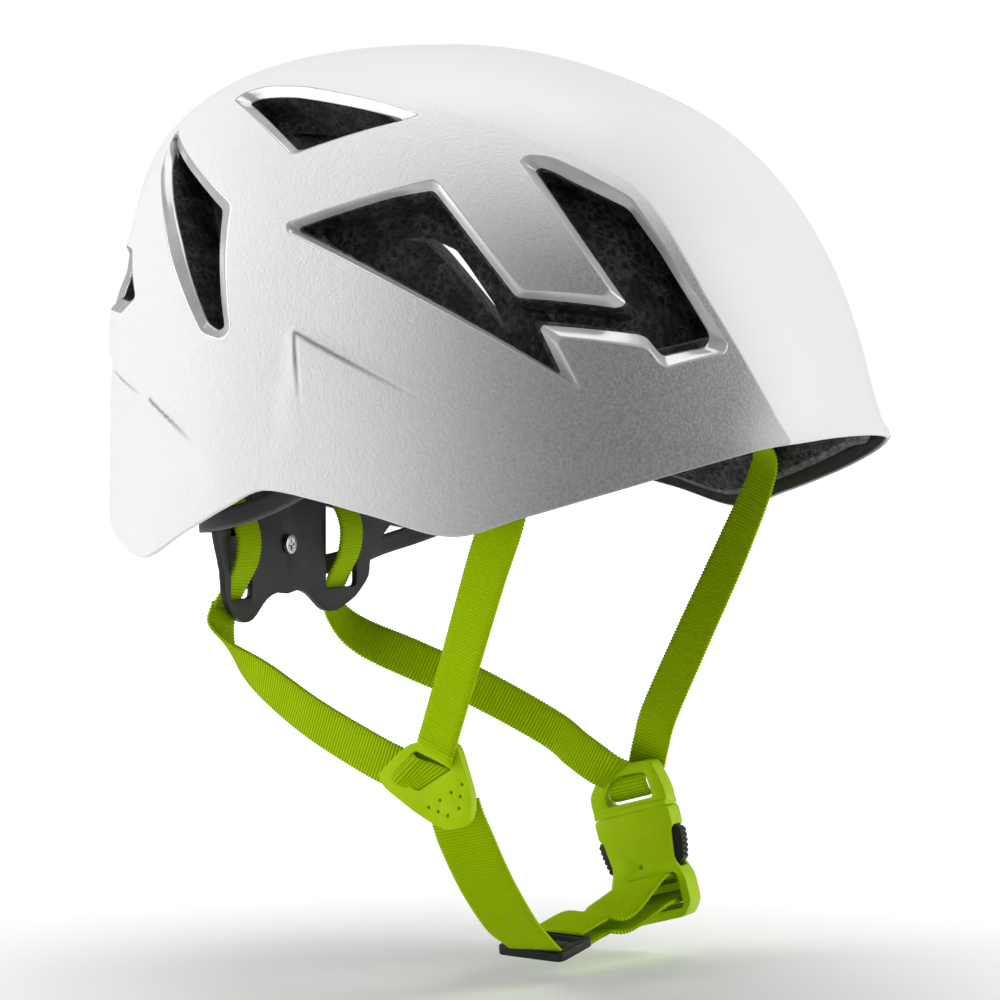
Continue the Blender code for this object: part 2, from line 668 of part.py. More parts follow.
def rack_outline(side):
    """The rack for one side: it starts past the pinion and leaves the housing on its own side."""
    pitch = math.pi * TOOTH_MODULE
    base = -side * PITCH_RADIUS  # the right rack runs over the pinion, the left one under it
    into = side  # the way from the rack to the pinion, in height
    flank = ((1.0, -TOOTH_DEPTH), (0.58, 0.0), (0.27, TOOTH_REACH))
    tooth = flank + tuple((-offset, reach) for offset, reach in reversed(flank))
    outline = []
    for k in range(RACK_TEETH):
        middle = (RACK_FIRST - k) * pitch
        outline += [(middle + offset, base + into * reach) for offset, reach in tooth]
    root = base - into * TOOTH_DEPTH
    back = root - into * RACK_HEIGHT
    outline = [(RACK_INNER, root)] + outline
    outline += [(-RACK_OUTER, root), (-RACK_OUTER, back), (RACK_INNER, back)]
    return [(-side * a, b) for a, b in outline]


def build_dial():
    centre = (0, 0, DIAL_HEIGHT)
    sideways, up = (1, 0, 0), (0, 0, 1)

    def block(name, outline, low, high, finish=None):
        return prism(name, outline, centre, sideways, up, -high, -low, finish)

    front, back = RACK_FRONT, RACK_BACK
    pinion = block("dial_pinion", pinion_outline(), front, back, (PLASTIC_BLACK, 0.4))
    stem = block("pinion_stem", circle(3.6, 24), front + 0.5, HOUSING_BACK + GAP)
    boolean(pinion, stem, "UNION")
    bore = block("pinion_bore", circle(1.9, 16), front - 5, HOUSING_BACK + 8)
    boolean(pinion, bore)

    lobes = 12
    count = lobes * 6
    grip = [
        ((KNOB_RADIUS + 0.7 * math.cos(lobes * t)) * math.cos(t),
         (KNOB_RADIUS + 0.7 * math.cos(lobes * t)) * math.sin(t))
        for t in (2 * math.pi * k / count for k in range(count))
    ]
    knob_start = HOUSING_BACK + 2 * GAP
    knob = block("dial_knob", grip, knob_start, knob_start + KNOB_DEPTH, (PLASTIC_BLACK, 0.4))
    bore = block("knob_bore", circle(1.9, 16), knob_start - 1, knob_start + 6)
    boolean(knob, bore)

    face = CRADLE_FACE
    screw = block("dial_screw", circle(1.6, 16), face - 0.6, knob_start + 5, (STEEL, 0.3, 1.0))
    head = block("screw_head", circle(3.6, 24), face - 1.6, face - GAP)
    boolean(screw, head, "UNION")
    cross = [(0.45, 0.45), (0.45, 2.0), (-0.45, 2.0), (-0.45, 0.45), (-2.0, 0.45), (-2.0, -0.45),
             (-0.45, -0.45), (-0.45, -2.0), (0.45, -2.0), (0.45, -0.45), (2.0, -0.45), (2.0, 0.45)]
    drive = block("screw_drive", cross, face - 2.6, face - 0.9)
    boolean(screw, drive)
    place_on_axis([pinion, knob, screw], "dial_axis", (0, front, DIAL_HEIGHT))

    for side, word in ((RIGHT, "right"), (LEFT, "left")):
        rack = block(f"rack_{word}", rack_outline(side), front, back, (PLASTIC_BLACK, 0.45))
        place_on_axis([rack], f"rack_{word}_axis", (0, front, DIAL_HEIGHT - side * PITCH_RADIUS))


def build_side_arms():
    """The flexible bands between the racks and the temples."""
    finish = (PLASTIC_BLACK, 0.55)
    shape = [
        # sideways, back, height on the right, height on the left
        (RACK_OUTER + GAP, 90.8, 10.0, -10.0), (44.0, 89.4, 10.3, -9.0), (54.0, 86.5, 10.8, -7.0),
        (64.0, 81.5, 11.4, -3.5), (73.0, 72.0, 12.6, 0.5), (81.0, 57.0, 15.0, 7.0),
        (87.0, 38.0, 20.0, 15.5), (91.5, 16.0, 29.5, 28.0), (TEMPLE[0], 2.0, 39.2, 39.2),
        (TEMPLE[0], -5.0, 41.0, 41.0),
    ]
    arms = []
    for side, word in ((RIGHT, "right"), (LEFT, "left")):
        stations = []
        for x, y, high_right, high_left in shape:
            height = high_right if side == RIGHT else high_left
            stations.append(((side * x, y, DIAL_HEIGHT + height), (0, 0.05, 1)))
        arm = band(f"side_arm_{word}", stations, 7.6, 1.5, finish, steps=3)
        centre = (side * TEMPLE[0], TEMPLE[1], TEMPLE[2])
        hole = prism(
            f"arm_hole_{word}", circle(TEMPLE_PIN_RADIUS + 0.1, 24), centre,
            (0, 1, 0), (0, 0, 1), -6.0, 6.0,
        )
        boolean(arm, hole)
        arms.append(arm)
    return arms


# ---------------------------------------------------------------- buckle, divider and slider

def buckle_point(down, across, inward):
    return BUCKLE_SEAM + BUCKLE_DOWN * down + BUCKLE_ACROSS * across + BUCKLE_INWARD * inward


def buckle_block(name, outline, low, high, finish=None):
    """A prism in the buckle's plane: the outline is (across, down), and low and high are inwards."""
    return prism(name, outline, BUCKLE_SEAM, BUCKLE_ACROSS, BUCKLE_DOWN, -high, -low, finish)


def build_buckle():
    lime, black = (LIME, 0.4), (PLASTIC_BLACK, 0.4)
    half, depth = BUCKLE_HALF, BUCKLE_THICKNESS / 2
    male = buckle_block(
        "buckle_male",
        rounded(
            [(-half, -0.4), (-half, -9.0), (-7.5, -19.0), (13.0, -18.0), (half, -7.0), (half, -0.4)], 2.5,
        ),
        -depth + 0.6, depth - 0.6, lime,
    )
    window = buckle_block(
        "male_window",
        rounded([(-9.5, -4.0), (-9.5, -8.0), (-4.0, -14.6), (9.5, -14.0), (10.5, -4.0)], 1.6),
        -depth - 2, depth + 2,
    )
    boolean(male, window)
    guide = buckle_block("male_guide", rectangle(-3.0, 3.0, -2.0, 20.0), -1.6, 1.6)
    boolean(male, guide, "UNION")

    female = buckle_block(
        "buckle_female",
        rounded(
            [(-half, 0.0), (half, 0.0), (half, 7.5), (half - 1.5, 9.0), (half - 3.0, 20.0), (half, 27.0),
             (half, 37.0), (12.0, BUCKLE_LENGTH), (-12.0, BUCKLE_LENGTH), (-half, 37.0), (-half, 27.0),
             (3.0 - half, 20.0), (1.5 - half, 9.0), (-half, 7.5)],
            2.0,
        ),
        -depth, depth, lime,
    )
    cavity = buckle_block("female_cavity", rectangle(-13.2, 13.2, -2.0, 24.0), -2.6, 2.6)
    boolean(female, cavity)
    window = buckle_block("female_window", rectangle(-half - 4, half + 4, 7.6, 23.4), -2.9, 2.9)
    boolean(female, window)
    recess = rounded(rectangle(-12.8, 12.8, 24.8, 38.6), 2.0)
    boolean(female, buckle_block("female_recess", recess, -1.0, depth + 2))
    for k, (low, high) in enumerate(((25.3, 29.1), (31.9, 36.9))):
        slot = buckle_block(f"female_slot_{k}", rectangle(-11.6, 11.6, low, high), -depth - 2, 0.0)
        boolean(female, slot)
    bore = buckle_block("female_hole", circle(0.9, 12, (-1.0, 20.6)), 3.6, depth + 3)
    boolean(female, bore)
    place_on_axis([female], "unclip_axis", BUCKLE_SEAM)

    arm = [(6.4, 0.4), (9.0, 0.4), (9.2, 7.9), (15.6, 8.2), (18.0, 10.2), (17.4, 17.0), (13.4, 22.8),
           (9.6, 22.8), (8.0, 19.0), (6.8, 12.0)]
    for sign, word in ((1, "front"), (-1, "rear")):
        prong = buckle_block(f"buckle_prong_{word}", [(sign * a, b) for a, b in arm], -2.2, 2.2, black)
        place_on_axis([prong], f"prong_{word}_axis", buckle_point(8.0, sign * 9.0, 0.0))


def build_divider():
    """The plate that joins the right side's straps, with a bent slot and small holes."""
    across, up = Vector((0, -1, 0)), Vector((0, 0, 1))  # their normal points to -X
    half = DIVIDER_THICKNESS / 2
    plate = prism(
        "strap_divider",
        rounded(
            [(-20.0, 1.5), (-8.5, 12.8), (3.0, 15.6), (11.5, 14.6), (18.0, -4.5), (16.8, -13.5),
             (7.5, -16.5), (-5.0, -10.5), (-17.5, -2.5)],
            4.5,
        ),
        DIVIDER_CENTRE, across, up, -half, half, (LIME, 0.4),
    )
    slot = prism(
        "divider_slot", rounded([(-14.5, 1.4), (-5.0, 11.0), (10.0, 5.5), (-3.5, -3.2)], 1.2),
        DIVIDER_CENTRE, across, up, -half - 3, half + 3,
    )
    boolean(plate, slot)
    holes = [(0.6, -8.4), (5.1, -5.6), (9.6, -2.7), (13.8, 0.4), (4.4, -9.6), (13.1, -3.8), (8.2, -10.7),
             (12.6, -7.9)]
    for k, place in enumerate(holes):
        bore = prism(
            f"divider_hole_{k}", circle(0.65, 8, place), DIVIDER_CENTRE, across, up, half - 1.2, half + 3,
        )
        boolean(plate, bore)
    place_on_axis([plate], "divider_axis", DIVIDER_CENTRE)


def build_slider():
    """A flat three-bar slider under the chin."""
    along = SLIDER_ALONG
    across = Vector((0, -1, 0))
    across = (across - along * across.dot(along)).normalized()
    slider = prism(
        "chin_slider", rounded(rectangle(-11.0, 11.0, -14.0, 14.0), 3.0), SLIDER_CENTRE, along, across,
        -1.6, 1.6, (PLASTIC_BLACK, 0.45),
    )
    for k, (low, high) in enumerate(((-8.0, -2.2), (2.2, 8.0))):
        slot = prism(
            f"slider_slot_{k}", rounded(rectangle(low, high, -10.8, 10.8), 1.0, 2), SLIDER_CENTRE,
            along, across, -4.0, 4.0,
        )
        boolean(slider, slot)
    place_on_axis([slider], "slider_axis", SLIDER_CENTRE)


def main():
    clear_scene()
    build_shell_and_liner()
    build_pads()
    build_headband()
    build_anchors()
    build_straps()
    folding = [build_cradle(), *build_housing(), *build_side_arms()]
    place_on_axis(folding, "nape_fold_axis", (0, TEMPLE[1], TEMPLE[2]))
    build_dial()
    build_buckle()
    build_divider()
    build_slider()


main()
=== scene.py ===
"""Looks of the climbing helmet: finished surfaces, foam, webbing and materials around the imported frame.

Sizes are in millimetres, as in the part's design, and MM turns them into metres. The front of the helmet
faces -Y, the wearer's right is -X and +Z is up.
"""

import math

import bmesh
import bpy
import numpy as np
from mathutils import Matrix, Vector
from mathutils.bvhtree import BVHTree


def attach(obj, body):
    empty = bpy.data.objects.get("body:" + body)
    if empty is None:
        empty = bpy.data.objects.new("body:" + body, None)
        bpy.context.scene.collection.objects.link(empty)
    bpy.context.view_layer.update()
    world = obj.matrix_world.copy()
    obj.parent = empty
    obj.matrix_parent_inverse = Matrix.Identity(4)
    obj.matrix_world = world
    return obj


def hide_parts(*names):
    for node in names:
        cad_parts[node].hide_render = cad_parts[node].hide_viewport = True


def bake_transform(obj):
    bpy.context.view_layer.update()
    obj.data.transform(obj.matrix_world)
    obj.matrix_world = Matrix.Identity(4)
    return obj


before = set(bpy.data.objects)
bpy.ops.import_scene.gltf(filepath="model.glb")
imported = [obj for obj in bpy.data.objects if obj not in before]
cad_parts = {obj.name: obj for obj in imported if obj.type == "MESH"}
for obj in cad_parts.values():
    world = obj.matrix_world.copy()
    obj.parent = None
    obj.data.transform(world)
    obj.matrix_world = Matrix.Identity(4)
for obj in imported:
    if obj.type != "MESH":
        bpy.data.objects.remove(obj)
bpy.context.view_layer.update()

MM = 0.001
RIGHT, LEFT = -1, 1
SIDES = ((RIGHT, "right"), (LEFT, "left"))

# The studio, in metres
CAMERA_DISTANCE = 1.3
FLOOR_RADIUS = 8.0
FLOOR_HEIGHT = -0.199

# Shell, as in the part's design
HALF_WIDTH = 117.0
FRONT_REACH = 143.0
REAR_REACH = 140.0
CROWN_HEIGHT = 140.0
CROWN_SHIFT = 8.0
PLAN_POWER = 2.2
BELT_HEIGHT = (-16.0, 5.0, 19.0)  # front, side and rear, as in the next three
OUT_POWER = (2.3, 2.25, 3.0)
UP_POWER = (1.86, 2.5, 3.2)
LINER_THICKNESS = (18.0, 18.0, 15.0)
BRIM_FLARE = 6.0
BRIM_FADE = 8.0
REAR_HOLLOW = 5.0
REAR_HOLLOW_HEIGHT = 75.0
REAR_HOLLOW_SPAN = 22.0
FOREHEAD_DIP = 4.0
FOREHEAD_DIP_PLACE = -50.0
SHELL_THICKNESS = 2.0
RIM = (
    (0, 1.5), (20, -1.0), (35, -7.5), (50, -16.5), (62, -24.5), (72, -31.0), (84, -24.0),
    (97, -17.0), (104, -23.5), (112, -32.0), (125, -43.0), (147, -32.0), (180, -27.0),
)
LINER_DEPTH = 3.2
LINER_EDGE = 0.33
LINER_TAPER_START = 0.6
LINER_RISE = 6.0
POCKET_DEPTH = 12.0

WEBBING = 15.0
CHIN_WEBBING = 20.0
WEB_THICKNESS = 1.3
RIB_PITCH = 1.25
WARP_PITCH = 0.62

DIAL_HEIGHT = -44.0
TEMPLE = (92.8, 0.0, -4.0)

BUCKLE_THICKNESS = 9.0
BUCKLE_SEAM = Vector((70.0, -26.0, -146.0))
BUCKLE_DOWN = Vector((0.0, -0.27, -0.963)).normalized()
BUCKLE_ACROSS = Vector((0.0, -0.963, 0.27)).normalized()
BUCKLE_INWARD = Vector((-1.0, 0.0, 0.0))
DIVIDER_CENTRE = Vector((-70.0, -17.0, -119.5))
SLIDER_CENTRE = Vector((2.0, -23.5, -186.5))
SLIDER_ALONG = Vector((0.985, -0.08, 0.155)).normalized()

WHITE = (0.88, 0.88, 0.885)
# Painted shade: the grey that stands in for the shade on the shell's sides
PAINTED_SHADE_GREY = (0.30, 0.30, 0.304)
LIME = (0.43, 0.66, 0.002)
GREEN_SHINE = (0.6, 0.8, 0.08, 1.0)
FOAM_BLACK = (0.007, 0.007, 0.0075)
PLASTIC_BLACK = (0.013, 0.013, 0.0145)
SATIN_GREY = (0.07, 0.07, 0.073)
PAD_GREY = (0.035, 0.035, 0.038)
STEEL = (0.6, 0.6, 0.62)


# ---------------------------------------------------------------- camera, light and floor

def build_camera():
    """Level with the brim, on the wearer's right and a little in front; its axes are returned."""
    back = Vector((-0.87248, -0.48767, 0.03085)).normalized()
    right = Vector((0.48791, -0.87290, 0.0)).normalized()
    up = back.cross(right)
    data = bpy.data.cameras.new("camera")
    data.lens = 128.7
    data.sensor_width = 36.0
    data.shift_x = 0.0143
    data.shift_y = -0.0697
    data.clip_end = 100.0
    camera = bpy.data.objects.new("camera", data)
    turned = Matrix((right, up, back)).transposed().to_4x4()
    camera.matrix_world = Matrix.Translation(back * CAMERA_DISTANCE) @ turned
    bpy.context.scene.collection.objects.link(camera)
    bpy.context.scene.camera = camera
    return back, right, up


def softbox(name, place, target, width, height, power):
    data = bpy.data.lights.new(name, "AREA")
    data.shape = "RECTANGLE"
    data.size = width
    data.size_y = height
    data.energy = power
    light = bpy.data.objects.new(name, data)
    light.location = place
    light.rotation_euler = (Vector(target) - Vector(place)).to_track_quat("-Z", "Y").to_euler()
    bpy.context.scene.collection.objects.link(light)


def build_studio():
    back, right, up = build_camera()
    bpy.context.scene.view_settings.view_transform = "Standard"
    middle = Vector((0, 0, -0.02))
    softbox("left_box", middle - right * 1.6 - back * 0.02 + up * 0.45, middle, 1.0, 1.5, 17)
    softbox("right_box", middle + right * 1.6 + up * 0.5, middle, 1.0, 1.5, 14)
    softbox("top_box", middle + up * 1.7 - back * 0.2, middle, 1.3, 1.3, 15)
    world = bpy.data.worlds.new("studio")
    world.use_nodes = True
    nodes, links = world.node_tree.nodes, world.node_tree.links
    seen = nodes["Background"]
    seen.inputs["Color"].default_value = (1, 1, 1, 1)
    seen.inputs["Strength"].default_value = 1.0
    glow = nodes.new("ShaderNodeBackground")
    glow.inputs["Color"].default_value = (1, 1, 1, 1)
    glow.inputs["Strength"].default_value = 0.34
    path = nodes.new("ShaderNodeLightPath")
    mix = nodes.new("ShaderNodeMixShader")
    links.new(path.outputs["Is Camera Ray"], mix.inputs["Fac"])
    links.new(glow.outputs[0], mix.inputs[1])
    links.new(seen.outputs[0], mix.inputs[2])
    links.new(mix.outputs[0], nodes["World Output"].inputs["Surface"])
    bpy.context.scene.world = world
    build_floor()


def build_floor():
    """A pale floor that fades to the white of the studio away from the helmet."""
    count = 96
    turns = [2 * math.pi * k / count for k in range(count)]
    ring = [(FLOOR_RADIUS * math.cos(t), FLOOR_RADIUS * math.sin(t), FLOOR_HEIGHT) for t in turns]
    mesh = bpy.data.meshes.new("floor")
    mesh.from_pydata(ring, [], [tuple(range(count))])
    floor = bpy.data.objects.new("floor", mesh)
    bpy.context.scene.collection.objects.link(floor)
    finish = Finish("floor_white", (0.9, 0.9, 0.9), 0.8)
    finish.cloudy((0.9, 0.9, 0.9), (0.94, 0.94, 0.94), 3.0)
    distance = finish.node("VectorMath", operation="LENGTH")
    finish.link(finish.object_place(), distance.inputs[0])
    finish.shader.inputs["Emission Color"].default_value = (1, 1, 1, 1)
    glow = finish.ramp(distance.outputs["Value"], 0.25, 1.6, 0.1, 1.0)
    seen = finish.node("LightPath")
    level = finish.maths("MULTIPLY", glow, seen.outputs["Is Camera Ray"])
    finish.link(level, finish.shader.inputs["Emission Strength"])
    mesh.materials.append(finish.material)


# ---------------------------------------------------------------- materials

class Finish:
    """A procedural material, built a node at a time."""

    def __init__(self, name, colour, roughness, **sockets):
        self.material = bpy.data.materials.new(name)
        self.material.use_nodes = True
        self.tree = self.material.node_tree
        self.shader = self.tree.nodes["Principled BSDF"]
        self.shader.inputs["Base Color"].default_value = (*colour, 1)
        self.shader.inputs["Roughness"].default_value = roughness
        for socket, value in sockets.items():
            self.shader.inputs[socket.replace("_", " ")].default_value = value
        self.bump_normal = None

    def node(self, kind, **settings):
        made = self.tree.nodes.new("ShaderNode" + kind)
        for name, value in settings.items():
            setattr(made, name, value)
        return made

    def link(self, output, target):
        self.tree.links.new(output, target)

    def object_place(self):
        return self.node("TexCoord").outputs["Object"]

    def texture(self, kind, scale, place=None, detail=2.0, stretch=None, **settings):
        """A texture's first output as a value, on the object's own coordinates unless place is given."""
        place = place or self.object_place()
        if stretch:
            mapping = self.node("Mapping")
            mapping.inputs["Scale"].default_value = stretch
            self.link(place, mapping.inputs["Vector"])
            place = mapping.outputs["Vector"]
        made = self.node("Tex" + kind, **settings)
        self.link(place, made.inputs["Vector"])
        made.inputs["Scale"].default_value = scale
        if "Detail" in made.inputs:
            made.inputs["Detail"].default_value = detail
        return made.outputs["Distance" if kind == "Voronoi" else "Fac"]

    def ramp(self, value, low, high, start, end):
        """A colour or number that goes from start to end as value goes from low to high."""
        made = self.node("MapRange")
        made.inputs["From Min"].default_value = low
        made.inputs["From Max"].default_value = high
        if isinstance(start, (int, float)):
            made.inputs["To Min"].default_value = start
            made.inputs["To Max"].default_value = end
            self.link(value, made.inputs["Value"])
            return made.outputs["Result"]
        self.link(value, made.inputs["Value"])
        mix = self.node("Mix", data_type="RGBA")
        self.link(made.outputs["Result"], mix.inputs["Factor"])
        for socket, colour in ((mix.inputs[6], start), (mix.inputs[7], end)):
            if hasattr(colour, "links"):
                self.link(colour, socket)
            else:
                socket.default_value = (*colour, 1)
        return mix.outputs[2]

    def colour(self, output):
        self.link(output, self.shader.inputs["Base Color"])

    def roughness(self, output):
        self.link(output, self.shader.inputs["Roughness"])

    def bump(self, value, strength, distance):
        """Adds a layer of relief, distance in metres, over those already there."""
        made = self.node("Bump")
        made.inputs["Strength"].default_value = strength
        made.inputs["Distance"].default_value = distance
        self.link(value, made.inputs["Height"])
        if self.bump_normal is not None:
            self.link(self.bump_normal, made.inputs["Normal"])
        self.bump_normal = made.outputs["Normal"]
        self.link(self.bump_normal, self.shader.inputs["Normal"])

    def maths(self, operation, first, second=None):
        made = self.node("Math", operation=operation)
        for socket, value in zip(made.inputs, (first, second)):
            if hasattr(value, "links"):
                self.link(value, socket)
            elif value is not None:
                socket.default_value = value
        return made.outputs[0]

    def crease(self, start, end, width):
        """1 along a line across the sides, given in y and z, fading out towards its end; 0 off it."""
        along = Vector((0, end[0] - start[0], end[1] - start[1]))
        length = along.length * MM
        along.normalize()
        across = Vector((0, -along.z, along.y))
        rel = self.node("VectorMath", operation="SUBTRACT")
        self.link(self.object_place(), rel.inputs[0])
        rel.inputs[1].default_value = (0, start[0] * MM, start[1] * MM)
        shares = []
        for direction in (along, across):
            dot = self.node("VectorMath", operation="DOT_PRODUCT")
            self.link(rel.outputs[0], dot.inputs[0])
            dot.inputs[1].default_value = direction
            shares.append(dot.outputs["Value"])
        off = self.maths("ABSOLUTE", shares[1])
        near = self.ramp(off, 0.0, width * MM, 1.0, 0.0)
        begun = self.ramp(shares[0], -0.8 * MM, 0.4 * MM, 0.0, 1.0)
        left = self.ramp(shares[0], 0.35 * length, length, 1.0, 0.0)
        return self.maths("MULTIPLY", near, self.maths("MULTIPLY", begun, left))

    def cloudy(self, dark, light, scale):
        self.colour(self.ramp(self.texture("Noise", scale), 0.35, 0.65, dark, light))


def shade(colour, factor):
    return tuple(channel * factor for channel in colour)


def shell_finish():
    """White on top and in front; on the sides a fine moulded grain, and painted shade that turns them grey.
    """
    finish = Finish("shell_plastic", WHITE, 0.4, Coat_Weight=0.12, Coat_Roughness=0.3)
    edge = finish.node("Attribute", attribute_name="grain_edge").outputs["Fac"]
    share = finish.node("Attribute", attribute_name="painted_shade_share").outputs["Fac"]
    side = finish.ramp(edge, -0.5, 0.5, 0.0, 1.0)
    grain = finish.texture("Noise", 1000, detail=3.0)
    fleck = finish.texture("Noise", 330, detail=2.0)
    # The painted shade grey, varied a little by the grain
    grained_shade = finish.ramp(grain, 0.3, 0.7, shade(PAINTED_SHADE_GREY, 0.78), shade(PAINTED_SHADE_GREY, 1.22))
    cloud = finish.texture("Noise", 14, detail=2.0)
    white = finish.ramp(cloud, 0.3, 0.7, shade(WHITE, 0.975), WHITE)
    # Painted shade: the grained side is painted grey, fading out where the light falls
    depth = finish.maths("MULTIPLY", side, share)
    creased = 0.0
    for start, end, width in CREASES:
        creased = finish.maths("MAXIMUM", finish.crease(start, end, width), creased)
    plain = finish.ramp(depth, 0.0, 1.0, white, grained_shade)
    # Painted shade: the grey is darkened further along the creases
    outside = finish.ramp(creased, 0.2, 1.0, plain, shade(PAINTED_SHADE_GREY, 0.8))
    # Painted shade: the inner face, where the surface looks back towards the middle of the head, is painted
    # near black
    outwards = finish.node("VectorMath", operation="NORMALIZE")
    finish.link(finish.object_place(), outwards.inputs[0])
    facing = finish.node("VectorMath", operation="DOT_PRODUCT")
    finish.link(outwards.outputs[0], facing.inputs[0])
    finish.link(finish.node("TexCoord").outputs["Normal"], facing.inputs[1])
    finish.colour(finish.ramp(facing.outputs["Value"], -0.5, -0.3, shade(PAINTED_SHADE_GREY, 0.08), outside))
    finish.bump(creased, 0.9, -0.0009)
    finish.roughness(finish.ramp(side, 0.0, 1.0, 0.46, 0.52))
    for texture, least, strength, distance in ((grain, 0.08, 0.5, 0.0007), (fleck, 0.0, 0.2, 0.0009)):
        raised = finish.maths("MULTIPLY", texture, finish.ramp(side, 0.0, 1.0, least, 1.0))
        finish.bump(raised, strength, distance)
    # The fine line where the two grains meet
    finish.bump(finish.ramp(finish.maths("ABSOLUTE", edge), 0.0, 0.5, 0.0, 1.0), 0.5, 0.0003)
    return finish.material


def frame_finish():
    """The glossy bevels round the vents."""
    finish = Finish("vent_gloss", PAINTED_SHADE_GREY, 0.2, Metallic=0.25, Coat_Weight=0.6, Coat_Roughness=0.08)
    cloud = finish.texture("Noise", 45, detail=3.0)
    finish.colour(finish.ramp(cloud, 0.3, 0.7, (0.5, 0.5, 0.51), (0.66, 0.66, 0.67)))
    finish.roughness(finish.ramp(cloud, 0.3, 0.7, 0.16, 0.26))
    finish.bump(finish.texture("Noise", 900), 0.04, 0.0003)
    return finish.material


def foam_finish():
    """Moulded bead foam: dull black beads with lighter, uneven seams between them."""
    finish = Finish("bead_foam", FOAM_BLACK, 0.5)
    beads = finish.texture("Voronoi", 300, feature="DISTANCE_TO_EDGE")
    cloud = finish.texture("Noise", 380, detail=6.0)
    broad = finish.texture("Noise", 110, detail=3.0)
    seam = finish.ramp(beads, 0.0, 0.12, (0.085, 0.085, 0.088), FOAM_BLACK)
    fleck = finish.ramp(cloud, 0.52, 0.68, seam, (0.11, 0.11, 0.113))
    finish.colour(finish.ramp(broad, 0.35, 0.6, FOAM_BLACK, fleck))
    finish.roughness(finish.ramp(cloud, 0.4, 0.7, 0.62, 0.36))
    finish.bump(beads, 0.8, 0.0012)
    finish.bump(cloud, 0.8, 0.0012)
    return finish.material


def plastic_finish(name, colour, roughness, grain=0.12, **sockets):
    """Moulded plastic with a fine spark-eroded surface and faint handling marks."""
    finish = Finish(name, colour, roughness, **sockets)
    cloud = finish.texture("Noise", 60, detail=4.0)
    fine = finish.texture("Noise", 2600)
    finish.colour(finish.ramp(cloud, 0.3, 0.7, shade(colour, 0.93), shade(colour, 1.07)))
    finish.roughness(finish.ramp(cloud, 0.3, 0.7, roughness - 0.05, roughness + 0.05))
    finish.bump(fine, grain, 0.0003)
    return finish.material


def webbing_finish():
    """Woven polyester: ribs across, fine warp threads along, with painted shade between the ribs."""
    finish = Finish("green_webbing", LIME, 0.75, Specular_IOR_Level=0.08, Specular_Tint=GREEN_SHINE)
    place = finish.node("UVMap", uv_map="weave").outputs["UV"]
    split = finish.node("SeparateXYZ")
    finish.link(place, split.inputs[0])

    def wave(output, pitch):
        return finish.maths("SINE", finish.maths("MULTIPLY", output, 2 * math.pi / pitch))

    rib = wave(split.outputs["X"], RIB_PITCH)
    warp = wave(split.outputs["Y"], WARP_PITCH)
    cross = finish.maths("MULTIPLY", rib, warp)
    fuzz = finish.texture("Noise", 1.6, place=place, detail=3.0, stretch=(0.6, 2.2, 1.0))
    threads = finish.ramp(cross, -1.0, 1.0, shade(LIME, 0.82), shade(LIME, 1.14))
    # Painted shade: darker between the ribs
    groove_shade = finish.ramp(rib, -1.0, 0.1, shade(LIME, 0.62), threads)
    finish.colour(finish.ramp(fuzz, 0.62, 0.8, groove_shade, shade(LIME, 1.3)))
    finish.bump(cross, 0.5, 0.00012)
    finish.bump(fuzz, 0.4, 0.00015)
    return finish.material


def pad_finish():
    """Brushed knit over foam."""
    finish = Finish("pad_knit", PAD_GREY, 0.92, Sheen_Weight=0.4, Sheen_Roughness=0.5)
    loops = finish.texture("Voronoi", 620, feature="F1")
    cloud = finish.texture("Noise", 35, detail=5.0)
    dark = finish.ramp(loops, 0.1, 0.6, shade(PAD_GREY, 1.5), shade(PAD_GREY, 0.55))
    finish.colour(finish.ramp(cloud, 0.35, 0.8, dark, shade(PAD_GREY, 1.9)))
    finish.bump(loops, 0.6, 0.0007)
    return finish.material


def steel_finish():
    finish = Finish("zinc_steel", STEEL, 0.3, Metallic=1.0)
    brushed = finish.texture("Noise", 900, detail=3.0, stretch=(1.0, 0.08, 1.0))
    finish.colour(finish.ramp(brushed, 0.3, 0.7, shade(STEEL, 0.8), shade(STEEL, 1.15)))
    finish.roughness(finish.ramp(brushed, 0.3, 0.7, 0.22, 0.4))
    finish.bump(brushed, 0.1, 0.0001)
    return finish.material


# ---------------------------------------------------------------- mesh helpers

def mesh_object(name, points, faces, material, sharp=38.0):
    """An object from points in millimetres, with its faces turned outwards and smooth up to this angle."""
    mesh = bpy.data.meshes.new(name)
    mesh.from_pydata((np.asarray(points, float) * MM).tolist(), [], faces)
    work = bmesh.new()
    work.from_mesh(mesh)
    bmesh.ops.recalc_face_normals(work, faces=work.faces)
    work.to_mesh(mesh)
    work.free()
    mesh.materials.append(material)
    mesh.shade_smooth()
    mesh.set_sharp_from_angle(angle=math.radians(sharp))
    obj = bpy.data.objects.new(name, mesh)
    bpy.context.scene.collection.objects.link(obj)
    return obj


def settle(obj):
    """Applies the object's modifiers."""
    bpy.context.view_layer.update()
    graph = bpy.context.evaluated_depsgraph_get()
    mesh = bpy.data.meshes.new_from_object(obj.evaluated_get(graph))
    obj.modifiers.clear()
    obj.data = mesh


def cut(obj, tools, operation="DIFFERENCE"):
    """Cuts the objects from obj, or joins them to it, and removes them."""
    for tool in tools:
        change = obj.modifiers.new(tool.name, "BOOLEAN")
        change.operation = operation
        change.solver = "EXACT"
        change.object = tool
    settle(obj)
    for tool in tools:
        bpy.data.objects.remove(tool)


